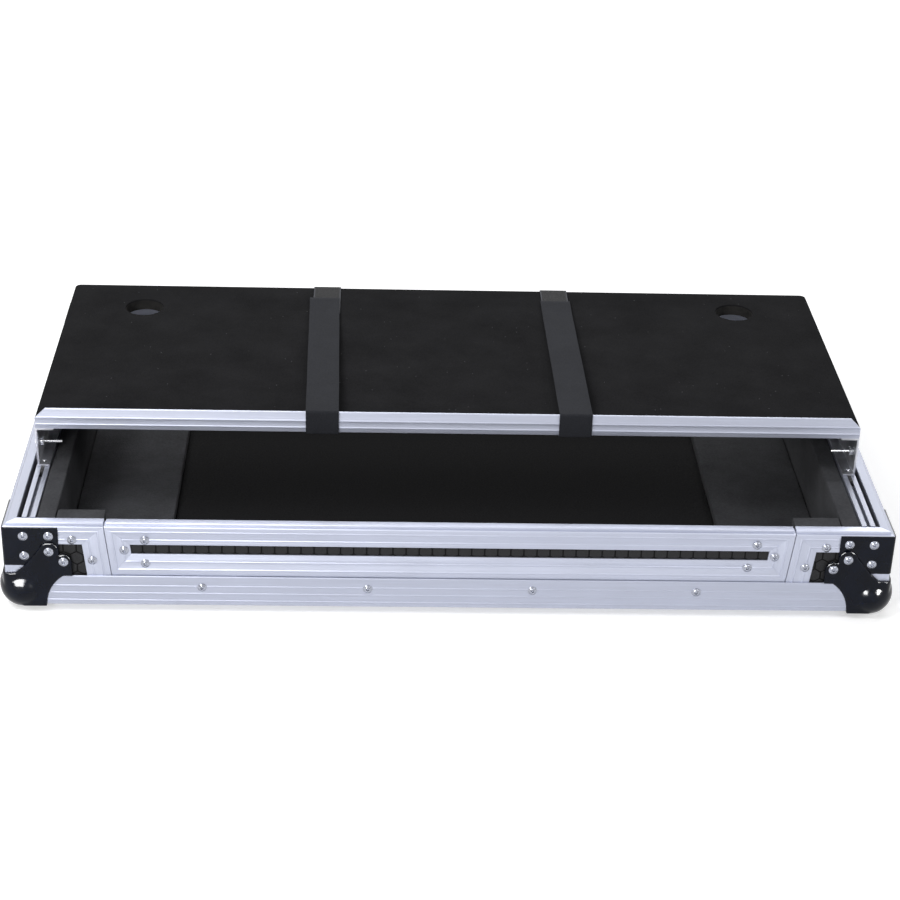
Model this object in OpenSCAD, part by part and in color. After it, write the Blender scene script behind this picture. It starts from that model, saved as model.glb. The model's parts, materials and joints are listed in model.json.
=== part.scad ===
// Base tray of a flight case for a DJ controller, with a sliding laptop shelf.
// Millimetres. X runs along the front, Y to the rear, Z up. The origin is under the
// middle of the case, on the surface that the four ball corners stand on.

/* [Case] */
// Width over the aluminium edges
case_w = 800; // [700:5:1000]
// Depth over the aluminium edges
case_d = 480; // [420:5:640]
// Height of the walls, from the underside of the case to the rim's shoulder
side_h = 80; // [76:1:110]
// Height of the case's underside above the surface it stands on
stand_h = 8; // [6:0.5:9]
// Thickness of the plywood walls and floor
ply_t = 9; // [7:0.5:12]
// Thickness of the aluminium extrusions
skin_t = 1.5; // [1:0.1:2]

/* [Rim and edges] */
// Height of the rim extrusion's outer face
rim_face_h = 18; // [14:0.2:20]
// Height of the tongue on the rim, which locates a lid
tongue_h = 2.5; // [1.5:0.1:4]
// Width of the ledge outside the tongue
ledge_w = 3; // [2:0.1:4]
// Leg of the bottom angle
angle_leg = 30; // [28:1:36]
// Leg of the vertical corner posts
post_leg = 22; // [20:1:26]
// Width of the ribs on the extrusions
rib_w = 1.8; // [1:0.1:2.4]
// Height of the ribs on the extrusions
rib_h = 0.5; // [0.2:0.05:0.7]

/* [Front panel] */
// Width of the fixed front at each end, at the top of the bottom angle
front_end_w = 94.6; // [85:0.2:120]
// How far the opening widens to each side for each millimetre of height
seam_lean_share = 0.104; // [0.05:0.001:0.12]
// Face width of the fixed uprights
upright_w = 21.5; // [16:0.5:24]
// Face width of the panel's end pieces
panel_end_w = 20.5; // [16:0.5:24]
// Height of the panel's bottom rail
panel_foot_h = 23.5; // [20:0.5:27]
// Running clearance around the removable panel
panel_gap = 0.5; // [0.3:0.05:1]

/* [Corners] */
// Radius of the ball corners
ball_r = 22; // [20:0.5:24]
// Thickness of the ball corners' wings
wing_t = 3.2; // [2:0.1:4]
// Width of the corner braces on each face
brace_w = 49; // [45:1:52]
// Height of the corner braces
brace_h = 39; // [36:1:40]
// Thickness of the corner braces
brace_t = 1.2; // [1:0.1:1.5]
// Diameter of the rivet heads
rivet_d = 8.6; // [7:0.1:9]
// Height of the rivet heads
rivet_h = 2; // [1.2:0.1:2.4]
// Diameter of the rivet shanks
shank_d = 4; // [3:0.1:4.2]

/* [Lining] */
// Thickness of the foam on the walls
foam_t = 17; // [10:0.5:18]
// How far the rear foam stays below the foam on the sides
rear_foam_drop = 10.5; // [0:0.5:14]
// Thickness of the floor mat
mat_t = 3; // [2:0.5:5]
// Height of the raised foam blocks above the floor panel
block_h = 10; // [6:0.5:14]
// Width of the recess between the raised foam blocks
well_w = 520; // [400:5:560]

/* [Glide rails] */
// Width of each glide rail
rail_w = 12; // [11:0.5:13]
// Height of each glide rail
rail_h = 9; // [8:0.5:12]
// Gap between the rim and the glide rail
rail_gap = 4; // [3:0.5:6]
// Width of the slot along the top of the rail
slot_w = 3.4; // [3:0.1:4]
// Width of the slot's inner channel
channel_w = 7.4; // [6.5:0.1:8]

/* [Glide shelf] */
// Distance from the case's side to the shelf's edge
shelf_side_gap = 17.5; // [16.5:0.5:18.5]
// Depth of the shelf
shelf_d = 300; // [260:5:340]
// Distance from the case's front face to the shelf's front edge, as photographed
shelf_setback = 105; // [95:1:115]
// Thickness of the shelf's board
board_t = 10; // [8:0.5:12]
// Thickness of the shelf's felt covering
felt_t = 1.4; // [1:0.1:2]
// How far the front trim stands above the felt
lip_h = 9.9; // [6:0.1:14]
// Thickness of the front trim
trim_t = 1.5; // [1.2:0.1:2]
// Height of the brackets under the shelf
bracket_h = 39.9; // [30:0.5:60]
// Thickness of the brackets
bracket_t = 2; // [1.5:0.1:2.5]
// Length of the brackets
bracket_l = 280; // [220:5:300]
// Width of the brackets' top flange
flange_w = 17; // [15:0.5:20]
// Width of the brackets' foot
foot_w = 11.3; // [10:0.1:11.5]
// Diameter of the cable holes
cable_hole_d = 38; // [30:1:45]
// Distance of the left cable hole from the shelf's left edge
left_hole_in = 76.5; // [60:0.5:140]
// Distance of the left cable hole from the shelf's rear edge
left_hole_inset = 54; // [30:1:70]
// Distance of the right cable hole from the shelf's right edge
right_hole_in = 81.5; // [60:0.5:140]
// Distance of the right cable hole from the shelf's rear edge
right_hole_inset = 46; // [30:1:70]

/* [Straps] */
// Width of the straps
strap_w = 30.5; // [20:0.5:40]
// Thickness of the straps
strap_t = 1.4; // [1:0.1:2]
// Thickness of the hook tapes
tape_t = 1.2; // [1:0.1:1.6]
// Width of the hook tapes
tape_w = 28; // [18:0.5:38]
// Distance of the left strap from the middle
strap_left_x = 120.5; // [60:0.5:200]
// Distance of the right strap from the middle
strap_right_x = 116; // [60:0.5:200]

/* [Hidden] */

$fn = 48;
aluminium = "silver";
gloss_black = "#1c2028";
laminate_black = "#232325";
felt_black = "#262628";
foam_grey = "#444448";
plywood = "#8a6d4b";
strap_grey = "#38383e";

// Overrun of every cut
cut = 1;
// Small edge break on the extrusions
edge_break = 0.6;

// Heights below are measured from the underside of the case.
floor_z = skin_t;
floor_top = floor_z + ply_t;
wall_t = ply_t + 2 * skin_t;
rim_z = side_h - rim_face_h;
rim_top = side_h + tongue_h;
ply_top = side_h - skin_t;
rail_top = rim_top + panel_gap;

// Ribs on the extrusions
angle_rib_first = 4.7;
angle_rib_step = 7.6;
rim_rib_first = 4.7;
rim_rib_step = 8.2;
foot_rib_first = 8.1;
foot_rib_step = 8.4;
trim_rib_first = 4.5;
trim_rib_step = 7;
// Places of the ribs across a mitred piece, from the seam
rib_shares = [0.28, 0.7];

// The bottom angles' rounded ends
angle_end_r = 36;
angle_end_steps = 10;
wing_reach = 36;
wing_clear = 0.3;

// The ball corners
ball_in = ball_r - stand_h;
core_r = ball_in;
lobe_one = [40.4, 55.9];
lobe_two = [53, 45.6];
lobe_one_r = 9;
lobe_two_r = 7;
wing_foot = [8.5, 32.5];
wing_waist = [17.5, 40.5];
wing_shoulder = [31.6, 58];
under_lobe = [38, 38];
under_lobe_r = 9;
under_turn = 45;
// Fold of the wings at the upright edge
fold_r = 4;
// Hollow curve between the ball and its wings
skirt_r = 18;
skirt_in = 12.5;
skirt_steps = 5;

// The corner braces
brace_z = side_h - edge_break - brace_h;
brace_fold_r = 3;
brace_rivet_in = 18.2;
brace_rivet_step = 22.4;
brace_rivet_drop = 8.6;
brace_rivet_rise = 10;

// Rivets along the edges
shank_in = 6;
angle_rivet_z = 19;
angle_rivet_step = 149.5;
rim_rivet_z = rim_z + 4.6;
upright_rivet_in = 14.6;
upright_rivet_z = 45.6;
rim_rivet_step = 150;
end_rivet_in = 14.7;
end_rivet_z = 56;
// Left and right rivets of the panel's top rail and foot, which aren't placed alike
top_rivets_in = [34, 32.2];
top_rivets_z = [rim_z + 4.4, rim_z + 6.2];
foot_rivets_in = [33.7, 39.1];
foot_rivets_z = [42.6, 44.5];

// The front opening and its panel
tongue_back = 1.6;
seam_low_x = case_w / 2 - front_end_w;
sill_z = angle_leg - skin_t;
panel_z = sill_z + panel_gap;
panel_slot_z = panel_z + panel_foot_h;
upright_web = 4.5;
groove_w = 7;
groove_in = 3;
key_w = groove_w - 2 * panel_gap;
key_out = 2.2;
panel_t = wall_t - 2 * panel_gap;
panel_ply_t = panel_t - 2 * skin_t;
panel_out = panel_gap;

// The lining and rails
rail_out_x = case_w / 2 - wall_t - rail_gap;
rail_in_x = rail_out_x - rail_w;
lining_gap = 0.5;
front_foam_in = 5.5;
foam_out_x = rail_in_x - lining_gap;
foam_in_x = foam_out_x - foam_t - lining_gap;
lining_y = case_d / 2 - wall_t;
foam_top = rim_top - panel_gap;
rail_z = rail_top - rail_h;
slot_d = 2;
channel_h = 3.4;
spacer_h = rim_z - floor_top;
rail_spacer_t = rail_gap + skin_t;

// The shelf, measured from the underside of the case
foot_gap = 0.3;
foot_z = rail_top + foot_gap;
board_z = foot_z + bracket_h;
felt_z = board_z + board_t;
shelf_top = felt_z + felt_t;
shelf_w = case_w - 2 * shelf_side_gap;
shelf_front = shelf_setback - case_d / 2;
shelf_rear = shelf_front + shelf_d;
shelf_corner_r = 6;
trim_top = shelf_top + lip_h;
trim_z = board_z + edge_break;
trim_key_t = 1.5;
trim_key_d = 8;
trim_key_z = board_z + board_t / 2;
hole_spots = [[left_hole_in - shelf_w / 2, shelf_rear - left_hole_inset],
    [shelf_w / 2 - right_hole_in, shelf_rear - right_hole_inset]];

// The brackets
bracket_x = rail_out_x - panel_gap / 2 - edge_break;
stop_screw_d = 3;
stop_screw_l = 21;
stop_screw_in = 10;
stop_screw_drop = 18.5;
stop_screw_z = board_z - stop_screw_drop;
stop_head_d = 6;
stop_head_t = 2;
stop_nut_d = 9;
stop_nut_t = 4.5;
shoe_l = 44;
shoe_nose = 10;
shoe_clear = 0.3;
shoe_stem_w = slot_w - 2 * shoe_clear;
shoe_head_w = channel_w - 2 * shoe_clear;
shoe_head_h = channel_h - 2 * shoe_clear;
screw_shank_d = 3;
screw_head_d = 6.4;
screw_head_t = 1.8;
screw_bite = 6;
flush_head_d = 5.6;
flush_head_t = 1.2;
flange_screws_shares = [0.1, 0.5, 0.9];
shoe_screw_t = 1.6;

// The straps
strap_end = 30;
tape_top_l = 65;
tape_tail_l = 90;

// Rear edge of the strap's top run, where it lies on the hook tape
strap_rear_y = shelf_rear - strap_end;
strap_flat = 28;
strap_front_y = shelf_front - trim_t - rib_h;
tape_front_y = shelf_rear - tape_tail_l;

function half_size(side) = side % 2 == 0 ? case_d / 2 : case_w / 2;
function seam_x(z) = seam_low_x + seam_lean_share * (z - angle_leg);
function ribs(edge, levels) = [for (z = levels) each
    [[edge, z - rib_w / 2], [edge - rib_h, z - rib_w / 4],
     [edge - rib_h, z + rib_w / 4], [edge, z + rib_w / 2]]];
function rib_levels(first, step, count) = [for (i = [0 : count - 1]) first + i * step];
function quarter(centre, run, rise, from, to, steps) = [for (i = [0 : steps])
    let (a = from + (to - from) * i / steps)
    [centre[0] + run * cos(a), centre[1] + rise * sin(a)]];

// Places a piece that is drawn for one side of the case, looking at that side: x along
// the side, y inwards from the extrusions' outer face, z up from the underside.
module on_side(side) {
    translate([0, 0, stand_h]) rotate([0, 0, 90 * side])
        translate([0, -half_size(side), 0]) children();
}

// Places a piece that is drawn for the front left corner, with both axes pointing inwards.
module at_corner(right, rear) {
    mirror([right, 0, 0]) mirror([0, rear, 0])
        translate([-case_w / 2, -case_d / 2, stand_h]) children();
}

module all_corners() {
    for (right = [0, 1], rear = [0, 1]) at_corner(right, rear) children();
}

// Lifts a piece from the case's underside to its height above the ground.
module in_case() {
    translate([0, 0, stand_h]) children();
}

// An outline in x and z, thick from y0 to y1.
module slab(y0, y1) {
    translate([0, y1, 0]) rotate([90, 0, 0]) linear_extrude(y1 - y0) children();
}

// A section in y and z, long from x0 to x1.
module bar(x0, x1) {
    translate([x0, 0, 0]) rotate([90, 0, 90]) linear_extrude(x1 - x0) children();
}

// A box from its lowest to its highest corner.
module block(low, high) {
    translate(low) cube(high - low);
}

// Turns a pin that stands up into one that points inwards from the front.
module inward() {
    rotate([-90, 0, 0]) children();
}

// Swaps the front face of a corner for its side face.
module swap_faces() {
    mirror([1, -1, 0]) children();
}

module shank(length) {
    cylinder(d = shank_d, h = length);
}

// A rivet whose head sits on level and whose shank runs in to depth, measured inwards.
module rivet(level, depth) {
    cap_r = (pow(rivet_d / 2, 2) + pow(rivet_h, 2)) / (2 * rivet_h);
    inward() {
        translate([0, 0, level]) shank(depth - level);
        translate([0, 0, level - rivet_h]) intersection() {
            cylinder(d = rivet_d, h = rivet_h);
            translate([0, 0, cap_r]) sphere(cap_r, $fn = 64);
        }
    }
}

module rivets_at(spots, level) {
    for (s = spots) translate([s[0], 0, s[1]]) rivet(level, shank_in);
}

module bores_at(spots) {
    for (s = spots) translate([s[0], -cut, s[1]]) translate([0, -wing_t, 0]) inward()
        shank(shank_in + cut + wing_t);
}

// Flat seats under the rivet heads, where ribs would run through them
module seats_at(spots, level) {
    for (s = spots) translate([s[0], level - cut, s[1]]) inward() cylinder(d = rivet_d, h = cut);
}

// Places of the rivets on each side, as x and z on that side
function angle_spots(side) = side % 2 == 0
    ? [for (i = [-1.5 : 1 : 1.5]) [i * angle_rivet_step, angle_rivet_z]]
    : [for (i = [-1 : 1]) [i * angle_rivet_step, angle_rivet_z]];
function rim_spots(side) = side == 0
    ? [for (s = [-1, 1]) [s * (case_w / 2 - brace_w - shank_d * 3), rim_rivet_z]]
    : side == 2 ? [for (i = [-2 : 2]) [i * rim_rivet_step, rim_rivet_z]]
    : [for (i = [-1 : 1]) [i * rim_rivet_step, rim_rivet_z]];
function upright_spots() =
    [for (s = [-1, 1]) [s * (seam_x(upright_rivet_z) + upright_rivet_in), upright_rivet_z]];
function brace_spots() = [
    [brace_rivet_in, brace_z + brace_h - brace_rivet_drop],
    [brace_rivet_in + brace_rivet_step, brace_z + brace_h - brace_rivet_drop],
    [brace_rivet_in, brace_z + brace_rivet_rise]];
function lobe_spots() = [lobe_one, lobe_two];
function panel_spots() = [for (s = [-1, 1]) let (i = (s + 1) / 2) each [
    [s * (panel_seam_x(end_rivet_z) - end_rivet_in), end_rivet_z],
    [s * (panel_seam_x(rim_z) - top_rivets_in[i]), top_rivets_z[i]],
    [s * (panel_seam_x(rim_z) - foot_rivets_in[i]), foot_rivets_z[i]]]];

module panel_bores() {
    bores_at(panel_spots());
    seats_at(panel_spots(), panel_out);
}

// The front view of the panel's end face
function panel_seam_x(z) = seam_x(z) - panel_gap;

module face_bores(side) {
    bores_at(angle_spots(side));
    bores_at(rim_spots(side));
    seats_at(rim_spots(side), 0);
    if (side == 0) {
        bores_at(upright_spots());
        seats_at(upright_spots(), 0);
    }
    for (s = [0, 1]) mirror([s, 0, 0]) translate([-case_side(side) / 2, 0, 0]) {
        bores_at(brace_spots());
        bores_at(lobe_spots());
    }
}

function case_side(side) = side % 2 == 0 ? case_w : case_d;

// Plywood

module floor_panel() {
    color(plywood) in_case() translate([0, 0, floor_z]) linear_extrude(ply_t)
        rounded_plate(case_w, case_d, core_r);
}

module rounded_plate(w, d, r) {
    union() {
        square([w - 2 * r, d], center = true);
        square([w, d - 2 * r], center = true);
        for (sx = [-1, 1], sy = [-1, 1])
            translate([sx * (w / 2 - r), sy * (d / 2 - r)]) circle(r);
    }
}

// The front wall is a low sill with a full height piece at each end. The opening between
// them widens upwards.
module front_wall() {
    end_x = case_w / 2 - skin_t - ply_t;
    web = upright_web;
    color(laminate_black) difference() {
        on_side(0) slab(skin_t, skin_t + ply_t) polygon([
            [-end_x, floor_top], [end_x, floor_top], [end_x, ply_top],
            [seam_x(ply_top) + web, ply_top], [seam_x(sill_z) + web, sill_z],
            [-seam_x(sill_z) - web, sill_z], [-seam_x(ply_top) - web, ply_top],
            [-end_x, ply_top]]);
        on_side(0) face_bores(0);
    }
}

module rear_wall() {
    end_x = case_w / 2 - skin_t - ply_t;
    color(laminate_black) difference() {
        on_side(2) block([-end_x, skin_t, floor_top], [end_x, skin_t + ply_t, ply_top]);
        on_side(2) face_bores(2);
    }
}

module side_wall(side) {
    end_x = case_d / 2 - skin_t;
    color(laminate_black) difference() {
        on_side(side) block([-end_x, skin_t, floor_top], [end_x, skin_t + ply_t, ply_top]);
        on_side(side) face_bores(side);
    }
}

module left_side_wall() { side_wall(3); }
module right_side_wall() { side_wall(1); }

// Rim extrusions

// Section of the rim: two legs over the plywood and a tongue on top
function rim_section(ribbed) = concat(
    [[skin_t, rim_z], [0, rim_z]],
    ribbed ? ribs(0, rib_levels(rim_z + rim_rib_first, rim_rib_step, 2)) : [],
    [[0, side_h - edge_break], [edge_break, side_h], [ledge_w, side_h],
     [ledge_w, rim_top - edge_break], [ledge_w + edge_break, rim_top],
     [wall_t - edge_break, rim_top], [wall_t, rim_top - edge_break], [wall_t, rim_z],
     [wall_t - skin_t, rim_z], [wall_t - skin_t, ply_top], [skin_t, ply_top]]);

// Plan of a side with a mitre at both corners
module mitred_plan(length) {
    over = rib_h + cut;
    polygon([[-length / 2 - over, -over], [length / 2 + over, -over],
        [length / 2 - wall_t - cut, wall_t + cut], [-length / 2 + wall_t + cut, wall_t + cut]]);
}

// The rim's ribs stop where the corner braces lie flat on it.
module brace_seats(length) {
    for (s = [0, 1]) mirror([s, 0, 0])
        block([length / 2 - brace_w, -rib_h - cut, rim_z - cut],
            [length / 2 + rib_h + cut, 0, rim_top + cut]);
}

module rim(side) {
    length = case_side(side);
    color(aluminium) difference() {
        on_side(side) intersection() {
            bar(-length / 2 - cut, length / 2 + cut) polygon(rim_section(true));
            linear_extrude(rim_top + cut) mitred_plan(length);
        }
        on_side(side) brace_seats(length);
        on_side(side) face_bores(side);
    }
}

module left_rim() { rim(3); }
module right_rim() { rim(1); }
module rear_rim() { rim(2); }

// Front view of the right hand front rim, mitred over the upright
module front_rim_outline() {
    low = rim_z - cut;
    polygon([[case_w / 2 + cut, low], [seam_x(rim_z) + upright_w, low],
        [seam_x(rim_z) + upright_w, rim_z], [seam_x(side_h), side_h], [seam_x(rim_top), rim_top + cut],
        [case_w / 2 + cut, rim_top + cut]]);
}

module front_rim() {
    difference() {
        on_side(0) intersection() {
            bar(0, case_w / 2 + cut) polygon(rim_section(true));
            linear_extrude(rim_top + cut) mitred_plan(case_w);
            slab(-cut, wall_t + cut) front_rim_outline();
        }
        on_side(0) brace_seats(case_w);
        on_side(0) face_bores(0);
    }
}

module front_right_rim() { color(aluminium) front_rim(); }
module front_left_rim() { color(aluminium) mirror([1, 0, 0]) front_rim(); }

// Uprights at the ends of the front opening

// Front view of the right hand upright's faces
module upright_outline() {
    polygon([[seam_x(sill_z), sill_z], [seam_x(sill_z) + upright_w, sill_z],
        [seam_x(rim_z) + upright_w, rim_z], [seam_x(side_h), side_h]]);
}

// The rim's two ribs, carried round the mitre and along the leaning seam. They are drawn
// at their distances outside the seam.
module leaning_ribs(offsets, level) {
    lean = atan(seam_lean_share);
    base = level + skin_t / 2;
    intersection() {
        for (x = offsets) translate([seam_low_x + x, 0, angle_leg]) rotate([0, lean, 0])
            translate([0, 0, -angle_leg]) linear_extrude(2 * side_h) polygon([
                [-rib_w / 2, base], [-rib_w / 2, level], [-rib_w / 4, level - rib_h],
                [rib_w / 4, level - rib_h], [rib_w / 2, level], [rib_w / 2, base]]);
        block([0, -cut, angle_leg], [case_w / 2, skin_t + panel_out, side_h]);
    }
}

// Front view of a strip that lies along the seam, from in0 to in1 outside it
module seam_strip(in0, in1, z0, z1) {
    polygon([[seam_x(z0) + in0, z0], [seam_x(z0) + in1, z0],
        [seam_x(z1) + in1, z1], [seam_x(z1) + in0, z1]]);
}

module upright() {
    mid = wall_t / 2;
    difference() {
        on_side(0) difference() {
            union() {
                slab(0, skin_t) upright_outline();
                intersection() {
                    leaning_ribs(upright_w * rib_shares, 0);
                    slab(-cut, skin_t) upright_outline();
                }
                slab(wall_t - skin_t, wall_t) upright_outline();
                slab(skin_t, wall_t - skin_t) seam_strip(0, upright_web, sill_z, ply_top);
            }
            slab(mid - groove_w / 2, mid + groove_w / 2)
                seam_strip(-cut, groove_in, sill_z - cut, side_h + cut);
        }
        on_side(0) face_bores(0);
        difference() {
            on_side(0) block([0, -cut, rim_z - cut], [case_w / 2, wall_t + cut, side_h + cut]);
            on_side(0) slab(-2 * cut, wall_t + 2 * cut) mitre_keep_outline();
        }
    }
}

// Everything below the mitre between the upright and the front rim
module mitre_keep_outline() {
    polygon([[0, 0], [case_w / 2, 0], [case_w / 2, rim_z], [seam_x(rim_z) + upright_w, rim_z],
        [seam_x(side_h), side_h], [0, side_h]]);
}

module right_front_upright() { color(aluminium) upright(); }
module left_front_upright() { color(aluminium) mirror([1, 0, 0]) upright(); }

// Bottom angles

// Section of the angle: outer leg with ribs, and a bottom leg under the floor
function angle_section() = concat(
    [[edge_break - skin_t, 0], [-skin_t, edge_break]],
    ribs(-skin_t, rib_levels(angle_rib_first, angle_rib_step, 3)),
    [[-skin_t, angle_leg - edge_break], [edge_break - skin_t, angle_leg], [0, angle_leg],
     [0, skin_t], [angle_leg - skin_t, skin_t], [angle_leg - skin_t, 0]]);

// An outline whose ends are arcs, cut off at the top of the leg
module angle_outline(length) {
    r = angle_end_r;
    end_x = length / 2 - wing_reach;
    turn = asin(angle_leg / r);
    run = r - r * cos(turn);
    polygon(concat(
        [[-end_x, -skin_t - cut], [end_x, -skin_t - cut]],
        quarter([end_x - r, 0], r, r, 0, turn, angle_end_steps),
        [[end_x - run, angle_leg + cut], [run - end_x, angle_leg + cut]],
        quarter([r - end_x, 0], r, r, 180 - turn, 180, angle_end_steps)));
}

module bottom_angle(side) {
    length = case_side(side);
    color(aluminium) difference() {
        on_side(side) intersection() {
            bar(-length / 2, length / 2) polygon(angle_section());
            slab(-skin_t - cut, angle_leg + cut) angle_outline(length);
            linear_extrude(angle_leg + cut) angle_outline(length);
        }
        on_side(side) bores_at(angle_spots(side));
        on_side(side) seats_at(angle_spots(side), -skin_t);
    }
}

module front_bottom_angle() { bottom_angle(0); }
module right_bottom_angle() { bottom_angle(1); }
module rear_bottom_angle() { bottom_angle(2); }
module left_bottom_angle() { bottom_angle(3); }

// Corner posts, braces and ball corners

module corner_posts() {
    color(aluminium) difference() {
        all_corners() translate([0, 0, floor_top]) linear_extrude(rim_z - floor_top) union() {
            square([post_leg, skin_t]);
            square([skin_t, post_leg]);
        }
        all_corners() corner_bores();
    }
}

module corner_bores() {
    bores_at(concat(brace_spots(), lobe_spots()));
    swap_faces() bores_at(concat(brace_spots(), lobe_spots()));
}

module brace() {
    r = brace_fold_r;
    color(gloss_black) difference() {
        translate([0, 0, brace_z]) linear_extrude(brace_h) difference() {
            union() {
                translate([r - brace_t, -brace_t]) square([brace_w - r + brace_t, brace_t]);
                translate([-brace_t, r - brace_t]) square([brace_t, brace_w - r + brace_t]);
                translate([r - brace_t, r - brace_t]) circle(r);
            }
            square([brace_w, brace_w]);
        }
        corner_bores();
    }
}

module front_left_brace() { at_corner(0, 0) brace(); }
module front_right_brace() { at_corner(1, 0) brace(); }
module rear_left_brace() { at_corner(0, 1) brace(); }
module rear_right_brace() { at_corner(1, 1) brace(); }

// Edge of a wing along the bottom angle's end, up to a turn of the arc
function end_arc(turn) = quarter([wing_reach + angle_end_r, 0], angle_end_r + wing_clear,
    angle_end_r + wing_clear, 180, 180 - turn, angle_end_steps);

// Outline of a wing on an upright face, from the corner: along the face, then up
module wing_outline() {
    top = angle_leg + wing_clear;
    far = lobe_two[0] + lobe_two_r;
    union() {
        polygon(concat([[fold_r, wing_foot[1]], [fold_r, ball_in], [ball_in, ball_in],
            [ball_in, skin_t - wing_t], [wing_reach - wing_clear, skin_t - wing_t]],
            end_arc(asin(top / (angle_end_r + wing_clear))),
            [[far, top], [far, lobe_two[1]], lobe_one, wing_shoulder, wing_waist, wing_foot]));
        translate(lobe_one) circle(lobe_one_r);
        translate(lobe_two) circle(lobe_two_r);
    }
}

// Outline of the wing under the case, which lies between the two bottom angles
module under_outline() {
    arc = end_arc(under_turn);
    union() {
        polygon(concat([[ball_in, 0]], arc, [under_lobe],
            [for (i = [len(arc) - 1 : -1 : 0]) [arc[i][1], arc[i][0]]],
            [[0, ball_in], [ball_in, ball_in]]));
        translate([ball_in, ball_in]) circle(core_r);
        translate(under_lobe) circle(under_lobe_r);
    }
}

// Section of the hollow curve: it leaves the wing at skirt_r, meets the ball at skirt_in
function skirt_section() =
    let (rise = sqrt(pow(ball_r, 2) - pow(skirt_in, 2)) - ball_in)
    concat([[0, 0], [skirt_r, 0]], [for (i = [0 : skirt_steps]) let (t = i / skirt_steps)
        [skirt_r - (skirt_r - skirt_in) * t, wing_t + (rise - wing_t) * t * t]], [[0, rise]]);

module face_skirt() {
    intersection() {
        translate([ball_in, 0, ball_in]) rotate([90, 0, 0])
            rotate_extrude() polygon(skirt_section());
        union() {
            block([ball_in, -ball_r, skin_t - wing_t], [wing_reach, 0, wing_foot[1]]);
            block([fold_r, -ball_r, ball_in], [ball_in, 0, wing_foot[1]]);
        }
    }
}

// The rounded fold that joins the two upright wings above the ball
module wing_fold() {
    translate([fold_r, fold_r, ball_in]) linear_extrude(wing_foot[1] - ball_in)
        circle(fold_r + wing_t);
}

module ball_corner() {
    color(gloss_black) difference() {
        union() {
            translate([ball_in, ball_in, ball_in]) sphere(ball_r, $fn = 96);
            slab(-wing_t, 0) wing_outline();
            swap_faces() slab(-wing_t, 0) wing_outline();
            translate([0, 0, skin_t - wing_t]) linear_extrude(wing_t) under_outline();
            wing_fold();
            face_skirt();
            swap_faces() face_skirt();
        }
        // The plywood floor, with its rounded corner
        translate([0, 0, floor_z]) linear_extrude(ply_t) union() {
            translate([core_r, 0]) square([case_d, case_d]);
            translate([0, core_r]) square([case_d, case_d]);
            translate([core_r, core_r]) circle(core_r);
        }
        // The walls and posts above it
        block([0, 0, floor_top], [case_d, case_d, case_d]);
        // The brace that the lobe lies over
        block([-brace_t, -brace_t, brace_z], [brace_w, brace_w, case_d]);
        // The bottom angles that the wings end against
        block([wing_reach - wing_clear, -skin_t, 0], [case_d, angle_leg, skin_t]);
        block([-skin_t, wing_reach - wing_clear, 0], [angle_leg, case_d, skin_t]);
        corner_bores();
        translate([under_lobe[0], under_lobe[1], -wing_t]) shank(wing_t + ply_t);
    }
}

module front_left_ball_corner() { at_corner(0, 0) ball_corner(); }
module front_right_ball_corner() { at_corner(1, 0) ball_corner(); }
module rear_left_ball_corner() { at_corner(0, 1) ball_corner(); }
module rear_right_ball_corner() { at_corner(1, 1) ball_corner(); }

// Rivets

module edge_rivets() {
    color(aluminium) {
        for (side = [0 : 3]) on_side(side) {
            rivets_at(angle_spots(side), -skin_t);
            rivets_at(rim_spots(side), 0);
        }
        on_side(0) rivets_at(upright_spots(), 0);
    }
}

module brace_rivets() {
    color(aluminium) all_corners() {
        rivets_at(brace_spots(), -brace_t);
        swap_faces() rivets_at(brace_spots(), -brace_t);
    }
}

module ball_corner_rivets() {
    color(aluminium) all_corners() {
        rivets_at(lobe_spots(), -wing_t);
        swap_faces() rivets_at(lobe_spots(), -wing_t);
    }
}

// Glide rails and their supports

module rail_support() {
    in_case() {
        block([rail_in_x, -lining_y, floor_top], [rail_out_x, lining_y, rail_z]);
        block([rail_out_x, -lining_y, floor_top],
            [rail_out_x + rail_spacer_t, lining_y, floor_top + spacer_h]);
    }
}

module right_rail_support() { color(plywood) rail_support(); }
module left_rail_support() { color(plywood) mirror([1, 0, 0]) rail_support(); }

module glide_rail() {
    mid = (rail_in_x + rail_out_x) / 2;
    in_case() difference() {
        block([rail_in_x, -lining_y, rail_z], [rail_out_x, lining_y, rail_top]);
        block([mid - slot_w / 2, -lining_y - cut, rail_top - slot_d - cut],
            [mid + slot_w / 2, lining_y + cut, rail_top + cut]);
        block([mid - channel_w / 2, -lining_y - cut, rail_top - slot_d - channel_h],
            [mid + channel_w / 2, lining_y + cut, rail_top - slot_d]);
    }
}

module right_glide_rail() { color(aluminium) glide_rail(); }
module left_glide_rail() { color(aluminium) mirror([1, 0, 0]) glide_rail(); }

// Foam lining

module side_foam() {
    in_case() block([foam_out_x - foam_t, -lining_y + lining_gap, floor_top],
        [foam_out_x, lining_y - lining_gap, foam_top]);
}

module right_foam() { color(foam_grey) side_foam(); }
module left_foam() { color(foam_grey) mirror([1, 0, 0]) side_foam(); }

module rear_foam() {
    color(foam_grey) in_case() block([-foam_in_x, lining_y - lining_gap - foam_t, floor_top],
        [foam_in_x, lining_y - lining_gap, foam_top - rear_foam_drop]);
}

module front_foam() {
    in_case() block([seam_low_x + front_foam_in, -lining_y + lining_gap, floor_top],
        [foam_in_x, -lining_y + lining_gap + foam_t, foam_top]);
}

module front_right_foam() { color(foam_grey) front_foam(); }
module front_left_foam() { color(foam_grey) mirror([1, 0, 0]) front_foam(); }

mat_y = lining_y - foam_t - 2 * lining_gap;

module floor_mat() {
    color(laminate_black) in_case() block([-well_w / 2 + lining_gap, -mat_y, floor_top],
        [well_w / 2 - lining_gap, mat_y, floor_top + mat_t]);
}

module foam_block() {
    in_case() block([well_w / 2, -mat_y, floor_top], [foam_in_x, mat_y, floor_top + block_h]);
}

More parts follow.
